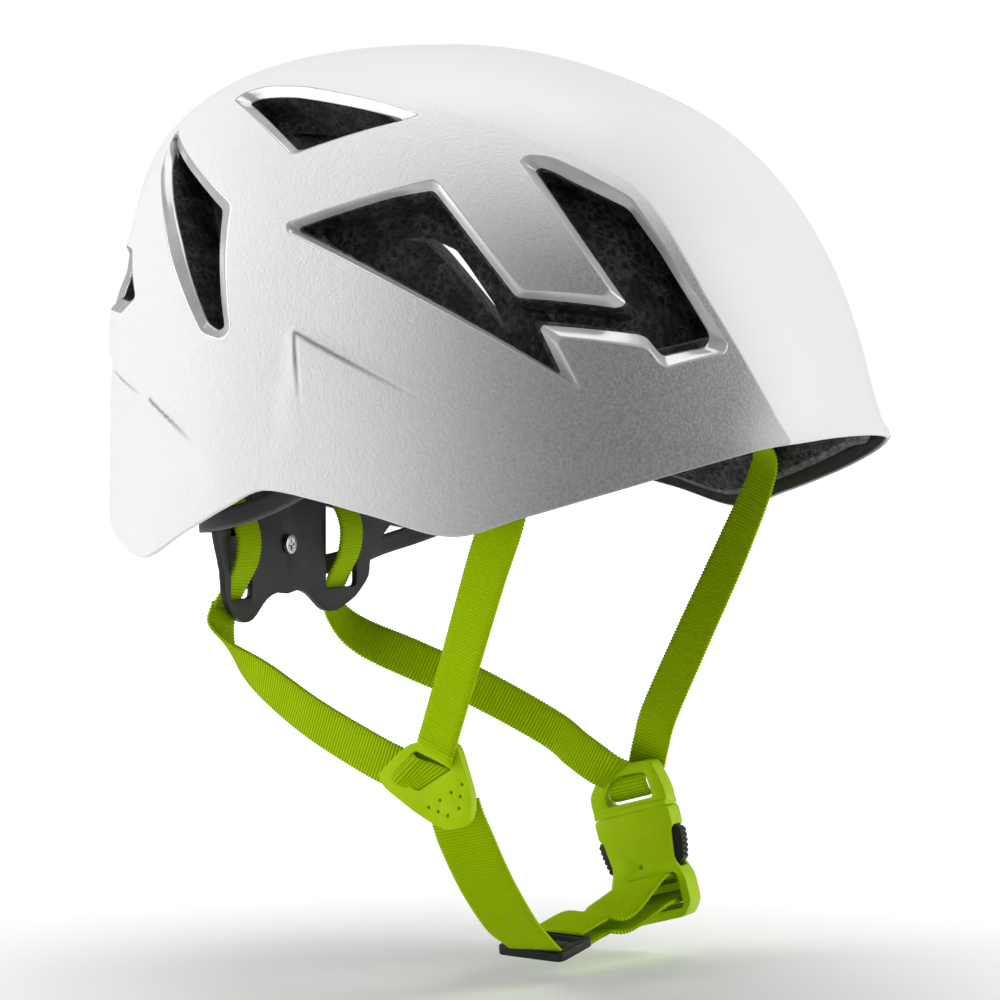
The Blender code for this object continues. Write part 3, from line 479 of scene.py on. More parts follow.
def soften(obj, width, segments=3, angle=30.0, sharp=38.0):
    """Rounds the edges and applies that."""
    bevel = obj.modifiers.new("rounding", "BEVEL")
    bevel.width = width * MM
    bevel.segments = segments
    bevel.limit_method = "ANGLE"
    bevel.angle_limit = math.radians(angle)
    bevel.use_clamp_overlap = True
    bevel.harden_normals = False
    settle(obj)
    obj.data.shade_smooth()
    obj.data.set_sharp_from_angle(angle=math.radians(sharp))


def keep(obj, body, slot, *nodes):
    """The piece rides on a body and stands for these CAD nodes, which it hides; slot is not used."""
    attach(obj, body)
    if nodes:
        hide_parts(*nodes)
    return obj


def grid_faces(rows, columns, wrap, base=0):
    """Quads of a grid whose points run down each column in turn."""
    last = rows if wrap else rows - 1
    return [
        (base + i * columns + j, base + i * columns + j + 1,
         base + (i + 1) % rows * columns + j + 1, base + (i + 1) % rows * columns + j)
        for i in range(last) for j in range(columns - 1)
    ]


def tube_faces(rows, ring, joined=False):
    """Faces of a tube of points ring after ring, with ends unless its last ring meets its first."""
    faces = []
    for i in range(rows if joined else rows - 1):
        here, ahead = i * ring, (i + 1) % rows * ring
        faces += [(here + j, here + (j + 1) % ring, ahead + (j + 1) % ring, ahead + j) for j in range(ring)]
    if not joined:
        faces += [tuple(range(ring)), tuple(range((rows - 1) * ring, rows * ring))]
    return faces


def prism(name, outline, centre, across, up, low, high, material):
    """A straight solid over an outline across and up from a centre, from low to high along their normal."""
    centre, across, up = Vector(centre), Vector(across), Vector(up)
    normal = across.cross(up)
    points = [centre + across * a + up * b + normal * level for level in (low, high) for a, b in outline]
    return mesh_object(name, [tuple(p) for p in points], tube_faces(2, len(outline)), material)


def rectangle(low_a, high_a, low_b, high_b):
    return [(low_a, low_b), (high_a, low_b), (high_a, high_b), (low_a, high_b)]


def rounded(corners, radius, steps=5):
    """The outline with each corner cut back to an arc of about this radius."""
    result = []
    for before, corner, after in zip(corners[-1:] + corners[:-1], corners, corners[1:] + corners[:1]):
        here = Vector(corner)
        back, ahead = Vector(before) - here, Vector(after) - here
        reach = min(radius, 0.45 * back.length, 0.45 * ahead.length)
        start, end = here + back.normalized() * reach, here + ahead.normalized() * reach
        for k in range(steps + 1):
            t = k / steps
            result.append(tuple(start * (1 - t) ** 2 + here * 2 * t * (1 - t) + end * t**2))
    return result


# ---------------------------------------------------------------- the shell's surface

def mixed(values, theta):
    """The value at each angle between those of the front, side and rear."""
    front, rear = np.maximum(0.0, np.cos(theta)) ** 2, np.maximum(0.0, -np.cos(theta)) ** 2
    return values[0] * front + values[1] * np.sin(theta) ** 2 + values[2] * rear


def dome(theta, tau):
    """Points above the belt: theta runs from the front over the wearer's right, tau from the crown down."""
    c, s = np.cos(theta), np.sin(theta)
    x = -HALF_WIDTH * np.sign(s) * np.abs(s) ** (2 / PLAN_POWER)
    y = -np.where(c >= 0, FRONT_REACH, REAR_REACH) * np.sign(c) * np.abs(c) ** (2 / PLAN_POWER)
    belt = mixed(BELT_HEIGHT, theta)
    out = np.sin(tau) ** (2 / mixed(OUT_POWER, theta))
    z = belt + (CROWN_HEIGHT - belt) * np.maximum(0.0, np.cos(tau)) ** (2 / mixed(UP_POWER, theta))
    front, rear = np.maximum(0.0, c) ** 2, np.maximum(0.0, -c) ** 2
    flare = BRIM_FLARE * front * np.exp(-np.maximum(z, 0.0) / BRIM_FADE)
    hollow = REAR_HOLLOW * rear * np.exp(-(((z - REAR_HOLLOW_HEIGHT) / REAR_HOLLOW_SPAN) ** 2))
    scale = out + (flare - hollow) / np.hypot(x, y)
    x, y = x * scale, y * scale + CROWN_SHIFT * (1 - out)
    dip = FOREHEAD_DIP * np.exp(-(((y - FOREHEAD_DIP_PLACE) / 35.0) ** 2 + (x / 60.0) ** 2))
    return np.stack([x, y, z - dip], -1)


def rim_height(theta):
    """A smooth curve through RIM."""
    angle = math.degrees(theta) % 360
    angle = min(angle, 360 - angle)
    knots = [(-RIM[1][0], RIM[1][1]), *RIM, (360 - RIM[-2][0], RIM[-2][1])]
    k = max(i for i in range(1, len(knots) - 2) if knots[i][0] <= angle)
    (x0, y0), (x1, y1), (x2, y2), (x3, y3) = knots[k - 1:k + 3]
    t = (angle - x1) / (x2 - x1)
    slope1 = (y2 - y0) / (x2 - x0) * (x2 - x1)
    slope2 = (y3 - y1) / (x3 - x1) * (x2 - x1)
    return (
        y1 * (2 * t**3 - 3 * t**2 + 1) + slope1 * (t**3 - 2 * t**2 + t)
        + y2 * (3 * t**2 - 2 * t**3) + slope2 * (t**3 - t**2)
    )


def run_lengths(places):
    """How far along the line each of its points lies."""
    return np.concatenate([[0.0], np.cumsum(np.linalg.norm(np.diff(places, axis=0), axis=1))])


def resampled(values, lengths, wanted):
    """The values at the wanted lengths, a column at a time."""
    return np.stack([np.interp(wanted, lengths, column) for column in values.T], -1)


def surface(angles, rows, rise):
    """A grid of surface points, from the crown to the rim for each angle, and their outward normals."""
    tau = np.linspace(1e-3, math.pi / 2, 261)
    lines = dome(angles[:, None], tau[None, :])
    grid = np.zeros((len(angles), rows + 1, 3))
    for i, theta in enumerate(angles):
        bottom = rim_height(theta) + rise
        line = lines[i]
        if line[-1, 2] > bottom:
            line = np.vstack([line, (line[-1, 0], line[-1, 1], bottom)])
        else:
            k = int(np.argmax((line[:, 2] < bottom) & (np.arange(len(line)) > len(line) / 2)))
            share = (line[k - 1, 2] - bottom) / (line[k - 1, 2] - line[k, 2])
            line = np.vstack([line[:k], line[k - 1] + (line[k] - line[k - 1]) * share])
        lengths = run_lengths(line)
        grid[i] = resampled(line, lengths, lengths[-1] * np.arange(rows + 1) / rows)
    along = np.gradient(grid, axis=1)
    closed = np.concatenate([grid[-1:], grid, grid[:1]])
    around = closed[2:] - closed[:-2]
    if abs((angles[-1] - angles[0]) % (2 * math.pi)) < 6.0 and len(angles) < 60:
        around = np.gradient(grid, axis=0)
    normals = np.cross(along, around)
    normals[:, 0] = (0, 0, 1)
    normals /= np.linalg.norm(normals, axis=-1, keepdims=True) + 1e-12
    outward = np.sign(np.sum(normals * (grid - np.array((0, 0, -60.0))), -1, keepdims=True))
    return grid, normals * np.where(outward == 0, 1, outward)


def smooth(value, low, high):
    t = np.clip((value - low) / (high - low), 0, 1)
    return t * t * (3 - 2 * t)


def relief(grid):
    """How far the moulded facets stand out from the plain surface."""
    x, y, z = np.abs(grid[..., 0]), grid[..., 1], grid[..., 2]
    # A facet on the side, raised along its upper and its rear edge
    below = (36.5 - z) * 0.93 - (8.5 - y) * 0.37
    ahead = (8.5 - y) + (36.0 - z) * 0.18
    away = np.hypot(y - 8.5, z - 36.0)
    facet = 1.5 * smooth(below, -0.6, 1.4) * smooth(ahead, -0.8, 1.2) * np.exp(-((away / 34.0) ** 2))
    facet = facet * (x > 90) * (y < 30)
    # The rear steps in under a crease
    crease = np.interp(y, (40.0, 52.0, 58.5, 79.0, 104.5, 130.0), (-22.0, -4.0, 4.0, 10.0, 20.0, 34.0))
    under = crease - z
    step = -2.0 * smooth(under, -0.8, 1.6) * np.exp(-np.maximum(under, 0) / 16.0)
    step = step * smooth(y, 44.0, 60.0) * smooth(x, 20.0, 60.0)
    return facet + step


# How far from the middle the grained side starts, at a few heights, and where it ends at the top
def grain_edge(places):
    """Millimetres from the edge of the grained side: positive on the side, negative in front and on top."""
    x, z = np.abs(places[..., 0]), places[..., 2]
    heights = (2.4, 11.7, 23.4, 35.4, 48.4, 62.4, 79.3, 86.4, 94.5, 99.9, 104.8, 110.0)
    edges = (42.9, 44.9, 49.5, 54.0, 58.1, 59.7, 60.3, 61.9, 67.7, 73.9, 75.2, 78.0)
    return np.minimum(x - np.interp(z, heights, edges), (112.0 - z) * 0.8)


def painted_shade_share(places):
    """How much painted shade greys the side: less towards the rear, the top and the front corner, where more
    light falls.
    """
    y, z = places[..., 1], places[..., 2]
    rear = smooth(y, -105.0, 5.0)
    top = smooth(z, 50.0, 100.0)
    front = smooth(-y, 126.0, 140.0)
    return (1 - rear) * (1 - top) * (1 - 0.5 * front)


def between(first, second):
    """Quads between two closed rings of points, given by their numbers."""
    count = len(first)
    return [(first[i], first[(i + 1) % count], second[(i + 1) % count], second[i]) for i in range(count)]


# Fine creases moulded into each side, with painted shade along them: where each starts and ends, in y and z,
# and its width
CREASES = [
    ((8.4, 36.2), (5.2, 9.0), 1.5), ((8.4, 36.0), (-44.0, 12.0), 1.2),
    ((112.0, 22.4), (78.0, 12.2), 1.4), ((78.4, 12.4), (50.0, -5.4), 1.4),
]


def bowl(name, columns, rows, rise, depths, material, with_relief=False):
    """A closed bowl between two depths under the surface, each a function of angle and share of the way."""
    angles = 2 * math.pi * np.arange(columns) / columns
    grid, normals = surface(angles, rows, rise)
    share = np.arange(rows + 1)[None, :] / rows
    sheets = [grid - normals * depth(angles[:, None], share)[..., None] for depth in depths]
    if with_relief:
        sheets[0] = sheets[0] + normals * relief(grid)[..., None]
    points, faces = [], []
    for k, sheet in enumerate(sheets):
        base = len(points)
        points += sheet[:, 1:].reshape(-1, 3).tolist()
        faces += grid_faces(columns, rows, True, base)
        points.append(sheet[:, 0].mean(0).tolist())
        top = len(points) - 1
        faces += [(top, base + i * rows, base + (i + 1) % columns * rows) for i in range(columns)]
    inner = columns * rows + 1
    # The edge between the two sheets is a half round
    outer_edge, inner_edge = sheets[0][:, -1], sheets[1][:, -1]
    down = np.array((0, 0, -1.0))
    reach = np.linalg.norm(outer_edge - inner_edge, axis=1, keepdims=True) * 0.3
    last = [i * rows + rows - 1 for i in range(columns)]
    arcs = 4
    for k in range(1, arcs):
        t = k / arcs
        base = len(points)
        place = outer_edge * (1 - t) + inner_edge * t + down * reach * math.sin(math.pi * t)
        points += place.tolist()
        here = list(range(base, base + columns))
        faces += between(last, here)
        last = here
    faces += between(last, [inner + i * rows + rows - 1 for i in range(columns)])
    return mesh_object(name, points, faces, material), sheets[0]


# ---------------------------------------------------------------- vents

# Each vent's middle and axis on the right side, the depth of its bevel, how far the inner edge leans for
# each millimetre of depth, and pairs of corners: (outer edge), (inner edge), along the surface
VENTS = {
    "side_vent": {
        "centre": (-100, -50, 55), "axis": (-0.93, -0.22, 0.28), "depth": 4.5, "lean": (-0.29, 0.26),
        "round": (2.6, 2.2), "reach": 60.0,
        "pairs": [
            ((-68, 20), (-61, 17.4)), ((-31, 29.1), (-27, 26)), ((-15, 33), (-14.6, 27.6)),
            ((-12.6, 31.6), (-12.8, 26.2)), ((19.5, -6), (17, -9.5)), ((44.5, -5.5), (50, -10)),
            ((46.3, -3.5), (53, -8)), ((12.5, 40.5), (19.5, 37.2)), ((14.5, 43.8), (20.8, 38.4)),
            ((22, 44), (24, 37.4)), ((32, 40), (31, 34)), ((49, 32), (48, 27.5)),
            ((51.8, 28.5), (50, 26)), ((62.5, 13.8), (60, 13)), ((82, -15), (77, -13)),
            ((81, -18.5), (76, -17.6)), ((64.7, -27.2), (64, -23)), ((62.3, -26), (62.4, -21.8)),
            ((59, -21.5), (58, -16.8)), ((32.5, -21.2), (24.6, -16.3)), ((31.6, -23), (24.0, -17.6)),
            ((39.8, -38), (31.5, -32.2)), ((-67, 16.3), (-60.4, 16.2)),
        ],
    },
    "crown_vent": {
        "centre": (-82, 20, 109), "axis": (-0.72, 0.12, 0.68), "depth": 3.4, "lean": (-1.06, 0.86),
        "round": (2.6, 2.4), "reach": 30.0,
        "pairs": [
            ((-48.5, 13), (-38.5, 10.5)), ((-47, 17.5), (-37, 12.5)), ((-37.5, 20), (-31, 13)),
            ((-17.5, 18), (-17.5, 12)), ((11, 12), (9, 6.9)), ((40, 5.5), (34.5, 1.9)),
            ((37.5, 2.5), (34.2, 0.2)), ((0, -17), (2.4, -15.0)), ((-3, -17), (0, -15.2)),
        ],
    },
    "rear_side_vent": {
        "centre": (-98, 62, 68), "axis": (-0.84, 0.44, 0.32), "depth": 3.0, "lean": (-1.58, 0.28),
        "round": (2.6, 2.0), "reach": 38.0,
        "pairs": [
            ((-46, 45), (-39.5, 38.2)), ((-8, 25.5), (-7, 22)), ((17, 13.5), (14, 11)),
            ((21.5, -3), (19, -4)), ((30, -30.5), (28, -29.6)), ((26.5, -34), (25.5, -31)),
            ((16.5, -33), (20, -29)), ((-9.5, -5.5), (-3, -1.5)), ((-28, 16), (-19, 15)),
            ((-37.5, 26.5), (-29, 26)),
        ],
    },
    "rear_vent": {
        "centre": (-68, 113, 56), "axis": (-0.6, 0.75, 0.27), "depth": 3.0, "lean": (0.0, 0.0),
        "round": (3.0, 2.4), "reach": 30.0,
        "pairs": [
            ((33, -7), (27, -6)), ((16, 10), (14, 5.5)), ((-24, 13.5), (-22, 9)), ((-32, 3), (-27, 2)),
            ((-23, -12), (-20, -7)), ((20, -13.5), (18, -8.5)),
        ],
    },
}
FRAME_LENGTH = 3.5  # longest step round a vent
# The foam behind the rear part of the side vents, and the way through it
WEB_OUTLINE = [(-64.0, 24.0), (-18.0, 34.0), (12.0, 4.0), (36.0, -24.0), (38.0, -38.0), (-20.0, -12.0)]
WEB_WINDOW = [
    (-31.0, 19.0), (-17.0, 17.5), (-11.5, 15.0), (-6.0, 8.5), (4.5, -5.4), (9.0, -13.7), (3.0, -13.2),
    (-19.0, 8.0),
]
CUT_DEPTH = 50.0  # below the plane through a vent's middle, where the shell curves away from it


def vent_axes(vent):
    axis = Vector(vent["axis"]).normalized()
    across = Vector((0, 0, 1)).cross(axis).normalized()
    return Vector(vent["centre"]), axis, across, axis.cross(across)


def vent_outlines(vent):
    """The outer edge and the inner one at its depth, with as many points each."""
    outer = rounded([tuple(map(float, pair[0])) for pair in vent["pairs"]], vent["round"][0])
    shift = [vent["depth"] * lean for lean in vent["lean"]]
    inner = [(pair[1][0] + shift[0], pair[1][1] + shift[1]) for pair in vent["pairs"]]
    inner = rounded(inner, vent["round"][1])
    result = ([], [])
    for k in range(len(outer)):
        a, b = Vector(outer[k]), Vector(outer[(k + 1) % len(outer)])
        c, d = Vector(inner[k]), Vector(inner[(k + 1) % len(inner)])
        steps = max(1, math.ceil((b - a).length / FRAME_LENGTH))
        for step in range(steps):
            t = step / steps
            result[0].append(tuple(a.lerp(b, t)))
            result[1].append(tuple(c.lerp(d, t)))
    return result


def vent_cutter(name, vent, outline, side, inwards, outwards, material):
    """A prism along the vent's axis."""
    centre, axis, across, up = vent_axes(vent)
    levels = (-inwards, outwards)
    points = [centre + across * a + up * b + axis * level for level in levels for a, b in outline]
    points = [(p.x if side == RIGHT else -p.x, p.y, p.z) for p in points]
    return mesh_object(name, points, tube_faces(2, len(outline)), material)


def vent_frame(name, vent, tree, side, material):
    """The bevelled ring that lines a vent, from the surface down to the inner edge and back behind it."""
    centre, axis, across, up = vent_axes(vent)
    outer, inner = vent_outlines(vent)

    def on_surface(place):
        start = centre + across * place[0] + up * place[1] + axis * 40
        hit, normal, _, _ = tree.ray_cast(start * MM, -axis)
        if hit is None:
            hit, normal, _, _ = tree.find_nearest((start - axis * 40) * MM)
        normal = normal if normal.dot(axis) > 0 else -normal
        return hit / MM, normal

    profile = ((0.0, 0.0), (0.05, 0.22), (0.14, 0.34), (0.5, 0.12), (0.82, 0.2), (0.93, 0.16), (1.0, -0.12))
    points = []
    for a, b in zip(outer, inner):
        top, normal = on_surface(a)
        low, _ = on_surface(b)
        low = low - axis * vent["depth"]
        tilt = (low - top).normalized()
        across_bevel = (normal - tilt * normal.dot(tilt)).normalized()
        ring = [top.lerp(low, t) + across_bevel * h for t, h in profile]
        ring += [low - axis * 1.6, low - axis * 2.2 + (top - low).normalized() * 0.6, top - axis * 3.4]
        points += [(p.x if side == RIGHT else -p.x, p.y, p.z) for p in ring]
    faces = tube_faces(len(outer), len(profile) + 3, joined=True)
    return mesh_object(name, points, faces, material, sharp=50)


def even_depth(depth):
    """The same depth under the surface everywhere."""
    return lambda theta, share: depth + 0 * theta * share


def build_shell(materials):
    depths = (even_depth(0.0), even_depth(SHELL_THICKNESS))
    columns, rows = ((288, 110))
    shell, sheet = bowl("shell", columns, rows, 0.0, depths, materials["shell"], with_relief=True)
    outer = sheet.reshape(-1, 3) * MM
    tree = BVHTree.FromPolygons(outer.tolist(), grid_faces(columns, rows + 1, True))
    tools, frames = [], []
    for name, vent in VENTS.items():
        outline, _ = vent_outlines(vent)
        for side, word in SIDES:
            tool = f"{name}_{word}_cutter"
            tools.append(vent_cutter(tool, vent, outline, side, CUT_DEPTH, 20, materials["shell"]))
            frames.append(vent_frame(f"{name}_frame_{word}", vent, tree, side, materials["frame"]))
    cut(shell, tools)
    shell.data.shade_smooth()
    shell.data.set_sharp_from_angle(angle=math.radians(35))
    places = np.array([v.co for v in shell.data.vertices]) / MM
    for name, values in (("grain_edge", grain_edge(places)), ("painted_shade_share", painted_shade_share(places))):
        layer = shell.data.attributes.new(name, "FLOAT", "POINT")
        layer.data.foreach_set("value", values.astype(np.float32))
    keep(shell, "helmet", "shell_white", "outer_shell")
    for ring in frames:
        keep(ring, "helmet", "shell_white")


def liner_thickness(theta, share):
    """The liner's thickness, which tapers towards its lower edge."""
    taper = np.maximum(0.0, (share - LINER_TAPER_START) / (1 - LINER_TAPER_START))
    return mixed(LINER_THICKNESS, theta) * (1 - (1 - LINER_EDGE) * taper)


def build_liner(materials):
    depths = (even_depth(LINER_DEPTH), lambda theta, share: LINER_DEPTH + liner_thickness(theta, share))
    liner, _ = bowl("liner", 144, 56, LINER_RISE, depths, materials["foam"])
    tools = []
    for name, vent in VENTS.items():
        _, outline = vent_outlines(vent)
        for side, word in SIDES:
            tools.append(
                vent_cutter(f"{name}_{word}_well", vent, outline, side, vent["reach"], 16, materials["foam"])
            )
    cut(liner, tools)
    liner.data.shade_smooth()
    liner.data.set_sharp_from_angle(angle=math.radians(38))
    keep(liner, "helmet", "foam_black", "foam_liner")
    vent = VENTS["side_vent"]
    for side, word in SIDES:
        plate = vent_cutter(f"liner_web_{word}", vent, WEB_OUTLINE, side, 20.5, -16.0, materials["foam"])
        hole = rounded(WEB_WINDOW, 1.5)
        cut(plate, [vent_cutter(f"web_window_{word}", vent, hole, side, 24.0, -12.0, materials["foam"])])
        soften(plate, 0.8)
        keep(plate, "helmet", "foam_black")
    for word, low, high in (("right", 18, 56), ("left", 304, 342)):
        angles = np.radians(np.linspace(low, high, 20))
        grid, normals = surface(angles, 60, LINER_RISE)
        grid, normals = grid[:, 24:51], normals[:, 24:51]
        sheets = [grid - normals * depth for depth in (LINER_DEPTH + POCKET_DEPTH, LINER_DEPTH + 17.2)]
        rows, columns = grid.shape[:2]
        points = np.concatenate([sheet.reshape(-1, 3) for sheet in sheets])
        faces = grid_faces(rows, columns, False) + grid_faces(rows, columns, False, rows * columns)
        edge = [j for j in range(columns)] + [i * columns + columns - 1 for i in range(1, rows)]
        edge += [(rows - 1) * columns + j for j in range(columns - 2, -1, -1)]
        edge += [i * columns for i in range(rows - 2, 0, -1)]
        back = rows * columns
        faces += between(edge, [place + back for place in edge])
        floor = mesh_object(f"liner_pocket_{word}", points, faces, materials["foam"])
        keep(floor, "helmet", "foam_black")


# ---------------------------------------------------------------- bands and webbing

def spline(values, steps):
    """Catmull-Rom curve through points, as an array."""
    values = np.asarray(values, float)
    padded = np.vstack([values[0] * 2 - values[1], values, values[-1] * 2 - values[-2]])
    result = []
    for a, b, c, d in zip(padded, padded[1:], padded[2:], padded[3:]):
        t = np.arange(steps)[:, None] / steps
        result.append(0.5 * (2 * b + (c - a) * t + (2 * a - 5 * b + 4 * c - d) * t**2
                             + (3 * b - a - 3 * c + d) * t**3))
    return np.vstack(result + [values[-1:]])


def lay_weave(obj, run, across):
    """The weave's coordinates, in millimetres along and across, for points that run ring after ring."""
    layer = obj.data.uv_layers.new(name="weave")
    point = np.zeros(len(obj.data.loops), np.int32)
    obj.data.loops.foreach_get("vertex_index", point)
    values = np.stack([run[point // len(across)], across[point % len(across)]], -1)
    layer.data.foreach_set("uv", values.reshape(-1).astype(np.float32))


def ribbon(name, stations, width, thickness, material, step=1.5, rib=0.0, scallop=0.0, edge=0.45):
    """A flat band along stations, each a place and the direction of the band's width there.

    rib is how far the cross ribs stand out, scallop how far each rib bulges at the edges, and edge the
    share of the half thickness that is rounded off.
    """
    places = spline([place for place, _ in stations], 40)
    widths = spline([direction for _, direction in stations], 40)
    lengths = run_lengths(places)
    count = max(3, int(round(lengths[-1] / step)))
    run = lengths[-1] * np.arange(count + 1) / count
    places, widths = resampled(places, lengths, run), resampled(widths, lengths, run)
    tangents = np.gradient(places, axis=0)
    tangents /= np.linalg.norm(tangents, axis=1, keepdims=True)
    widths -= tangents * np.sum(widths * tangents, axis=1, keepdims=True)
    widths /= np.linalg.norm(widths, axis=1, keepdims=True)
    normals = np.cross(tangents, widths)
    swell = np.abs(np.sin(np.pi * run / RIB_PITCH))[:, None]
    half, deep = width / 2, thickness / 2
    corner = edge * deep
    # Cross-section, (across, over), once round
    flat = np.linspace(-1, 1, 7)
    upper = [(a * (half - corner), deep) for a in flat]
    section = upper + [(half - corner * 0.2, deep * 0.55), (half, 0.0), (half - corner * 0.2, -deep * 0.55)]
    section += [(-a, -b) for a, b in upper]
    section += [(-(half - corner * 0.2), -deep * 0.55), (-half, 0.0), (-(half - corner * 0.2), deep * 0.55)]
    section = np.array(section)
    across = section[None, :, 0] + np.sign(section[None, :, 0]) * scallop * (swell - 0.5) * (
        np.abs(section[None, :, 0]) > 0.6 * half)
    over = section[None, :, 1] + np.sign(section[None, :, 1]) * rib * (swell - 0.5)
    points = places[:, None] + widths[:, None] * across[..., None] + normals[:, None] * over[..., None]
    obj = mesh_object(name, points.reshape(-1, 3), tube_faces(count + 1, len(section)), material, sharp=60)
    lay_weave(obj, run, section[:, 0])
    return obj


def webbing(name, stations, width, materials):
    step = 0.21
    return ribbon(name, stations, width, WEB_THICKNESS, materials["webbing"], step, rib=0.24, scallop=0.4)


def flip(stations):
    """The same stations on the other side of the helmet."""
    return [((-x, y, z), (-a, b, c)) for (x, y, z), (a, b, c) in stations]


# Routes as in the part's design
NAPE_TOP = [
    ((-36, 104.0, -12), (1, 0, 0)), ((-36, 94.0, -19), (1, 0, 0)), ((-36, 84.5, -28), (1, 0, 0)),
    ((-36, 79.5, -38), (1, 0, 0)), ((-36, 80.0, -48), (1, 0, 0)), ((-36.3, 84.3, -56.5), (1, 0, 0)),
    ((-37.5, 89.0, -65), (1, -0.05, 0)),
]
NAPE_LOW = [
    ((-37.5, 89.0, -65), (1, -0.05, 0)), ((-40.5, 88.5, -73), (0.9, -0.1, -0.35)),
    ((-45, 79.5, -82), (0.65, 0.1, -0.7)), ((-52, 60.0, -91), (0.25, 0.3, -0.92)),
    ((-60, 36.0, -101.5), (0.1, 0.4, -0.91)),
]
REAR_RIGHT_END = [((-66.3, 8.0, -112), (0, 0.45, -0.89)), ((-66.8, -6.0, -117), (0, 0.45, -0.89))]
REAR_LEFT_END = [
    ((68.6, 10.0, -116), (0, 0.5, -0.86)), ((65.4, -3.0, -123.0), (0.0, 0.55, -0.83)),
    ((63.6, -12.0, -127.6), (0.0, 0.6, -0.8)), ((64.4, -17.0, -130.4), (0.1, 0.62, -0.78)),
    ((68.4, -20.4, -132.8), (0.2, 0.62, -0.76)),
]
FRONT_RIGHT = [
    ((-92.5, -61.0, -11), (0.42, -0.82, -0.38)), ((-95.0, -59.5, -26), (0.42, -0.82, -0.38)),
    ((-90.7, -50.5, -45), (0.2, -0.88, -0.42)), ((-81.8, -35.8, -76), (0.05, -0.88, -0.47)),
    ((-74.8, -24.0, -101), (0, -0.88, -0.47)), ((-73.6, -21.3, -107.4), (0, -0.88, -0.47)),
    ((-70.2, -20.0, -110.6), (0, -0.88, -0.47)), ((-68.2, -19.4, -111.8), (0, -0.88, -0.47)),
]
FRONT_LEFT = [
    ((89.5, -68.0, -4), (-0.45, -0.84, -0.3)), ((93.5, -68.0, -16), (-0.45, -0.84, -0.3)),
    ((89.6, -57.4, -45), (-0.2, -0.9, -0.36)), ((80.8, -44.2, -80), (-0.05, -0.92, -0.36)),
    ((74.8, -33.6, -108), (0, -0.92, -0.36)), ((75.6, -29.4, -121.0), (0, -0.94, -0.3)),
    ((75.9, -27.6, -128.0), (0, -0.96, -0.1)), ((74.8, -26.6, -132.0), (0, -0.96, 0.1)),
]
CHIN_RIGHT = [
    ((-66.4, -24.0, -126.5), (0, -0.87, 0.49)), ((-61.5, -26.0, -138.5), (0, -0.87, 0.49)),
    ((-48.0, -26.5, -156), (0, -0.92, 0.38)), ((-29.0, -26.0, -173.5), (0, -0.97, 0.25)),
    ((-14.0, -25.0, -182.5), (0, -1, 0.1)), ((-8.6, -24.7, -185.4), (0, -1, 0.06)),
    ((-4.6, -24.4, -187.6), (0, -1, 0.05)),
]


def buckle_point(down, across, inward):
    return BUCKLE_SEAM + BUCKLE_DOWN * down + BUCKLE_ACROSS * across + BUCKLE_INWARD * inward


def bent(piece, first, second, start, end, slot, *nodes):
    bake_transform(piece)
    if nodes:
        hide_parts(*nodes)


def build_straps(materials):
    slot = "webbing_green"
    front = webbing("front_webbing_right", FRONT_RIGHT, WEBBING, materials)
    bent(front, "helmet", "divider", FRONT_RIGHT[2][0], FRONT_RIGHT[5][0], slot, "front_strap_right")
    left = webbing("front_webbing_left", FRONT_LEFT, WEBBING, materials)
    keep(left, "helmet", slot, "front_strap_left")
    for word, top, low in (("right", NAPE_TOP, NAPE_LOW + REAR_RIGHT_END),
                           ("left", flip(NAPE_TOP), flip(NAPE_LOW) + REAR_LEFT_END)):
        piece = webbing(f"nape_webbing_{word}", top, WEBBING, materials)
        bent(piece, "helmet", "nape", top[0][0], top[4][0], slot, f"rear_strap_{word}")
        piece = webbing(f"rear_webbing_{word}", low, WEBBING, materials)
        bent(piece, "nape", "helmet", low[1][0], low[5][0], slot)
    chin = webbing("chin_webbing_right", CHIN_RIGHT, CHIN_WEBBING, materials)
    bent(chin, "helmet", "slider", CHIN_RIGHT[1][0], CHIN_RIGHT[4][0], slot, "chin_strap_right")

    along, inward = SLIDER_ALONG, BUCKLE_INWARD
    start = SLIDER_CENTRE + along * 9.0
    lift = Vector((0, 0, 2.5))
    level, tilted = (0.08, -0.995, 0.012), tuple(BUCKLE_ACROSS)
    # Straight as far as the slider travels, then hanging a little
    straight, sag = along * 19, along * 30 - Vector((0, 3.5, 1.5))
    places = [(start + lift, level), (start + straight + lift, level), (start + sag + lift, level)]
    # In over the bar in the recess, behind it and back
    wrap = [(26.1, 9.0), (26.1, 2.0), (26.1, -4.0), (30.6, -7.0), (35.3, -4.0), (35.8, 2.0), (35.8, 9.0)]
    places += [(buckle_point(down, 0.0, inward), tilted) for down, inward in wrap]
    under = lift * 1.15
    places += [(start + sag - under, level), (start + straight - under, level), (start - under, level)]
    chin = webbing("chin_webbing_left", [(tuple(p), d) for p, d in places], CHIN_WEBBING, materials)
    bent(chin, "helmet", "female_half", tuple(start + along * 10), tuple(buckle_point(30.4, 0.0, 6.0)), slot,
         "chin_strap_left")


# ---------------------------------------------------------------- small hard parts

def refined(node, body, slot, material, width, segments):
    """The CAD node's own shape with rounded edges."""
    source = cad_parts[node]
    obj = bpy.data.objects.new(f"{node}_finished", source.data.copy())
    bpy.context.scene.collection.objects.link(obj)
    work = bmesh.new()
    work.from_mesh(obj.data)
    bmesh.ops.remove_doubles(work, verts=work.verts, dist=1e-6)
    bmesh.ops.dissolve_limit(
        work, angle_limit=math.radians(1.0), verts=work.verts, edges=work.edges,
        use_dissolve_boundaries=False,
    )
    bmesh.ops.recalc_face_normals(work, faces=work.faces)
    work.to_mesh(obj.data)
    work.free()
    obj.data.materials.clear()
    obj.data.materials.append(material)
    soften(obj, width, segments)
    return keep(obj, body, slot, node)


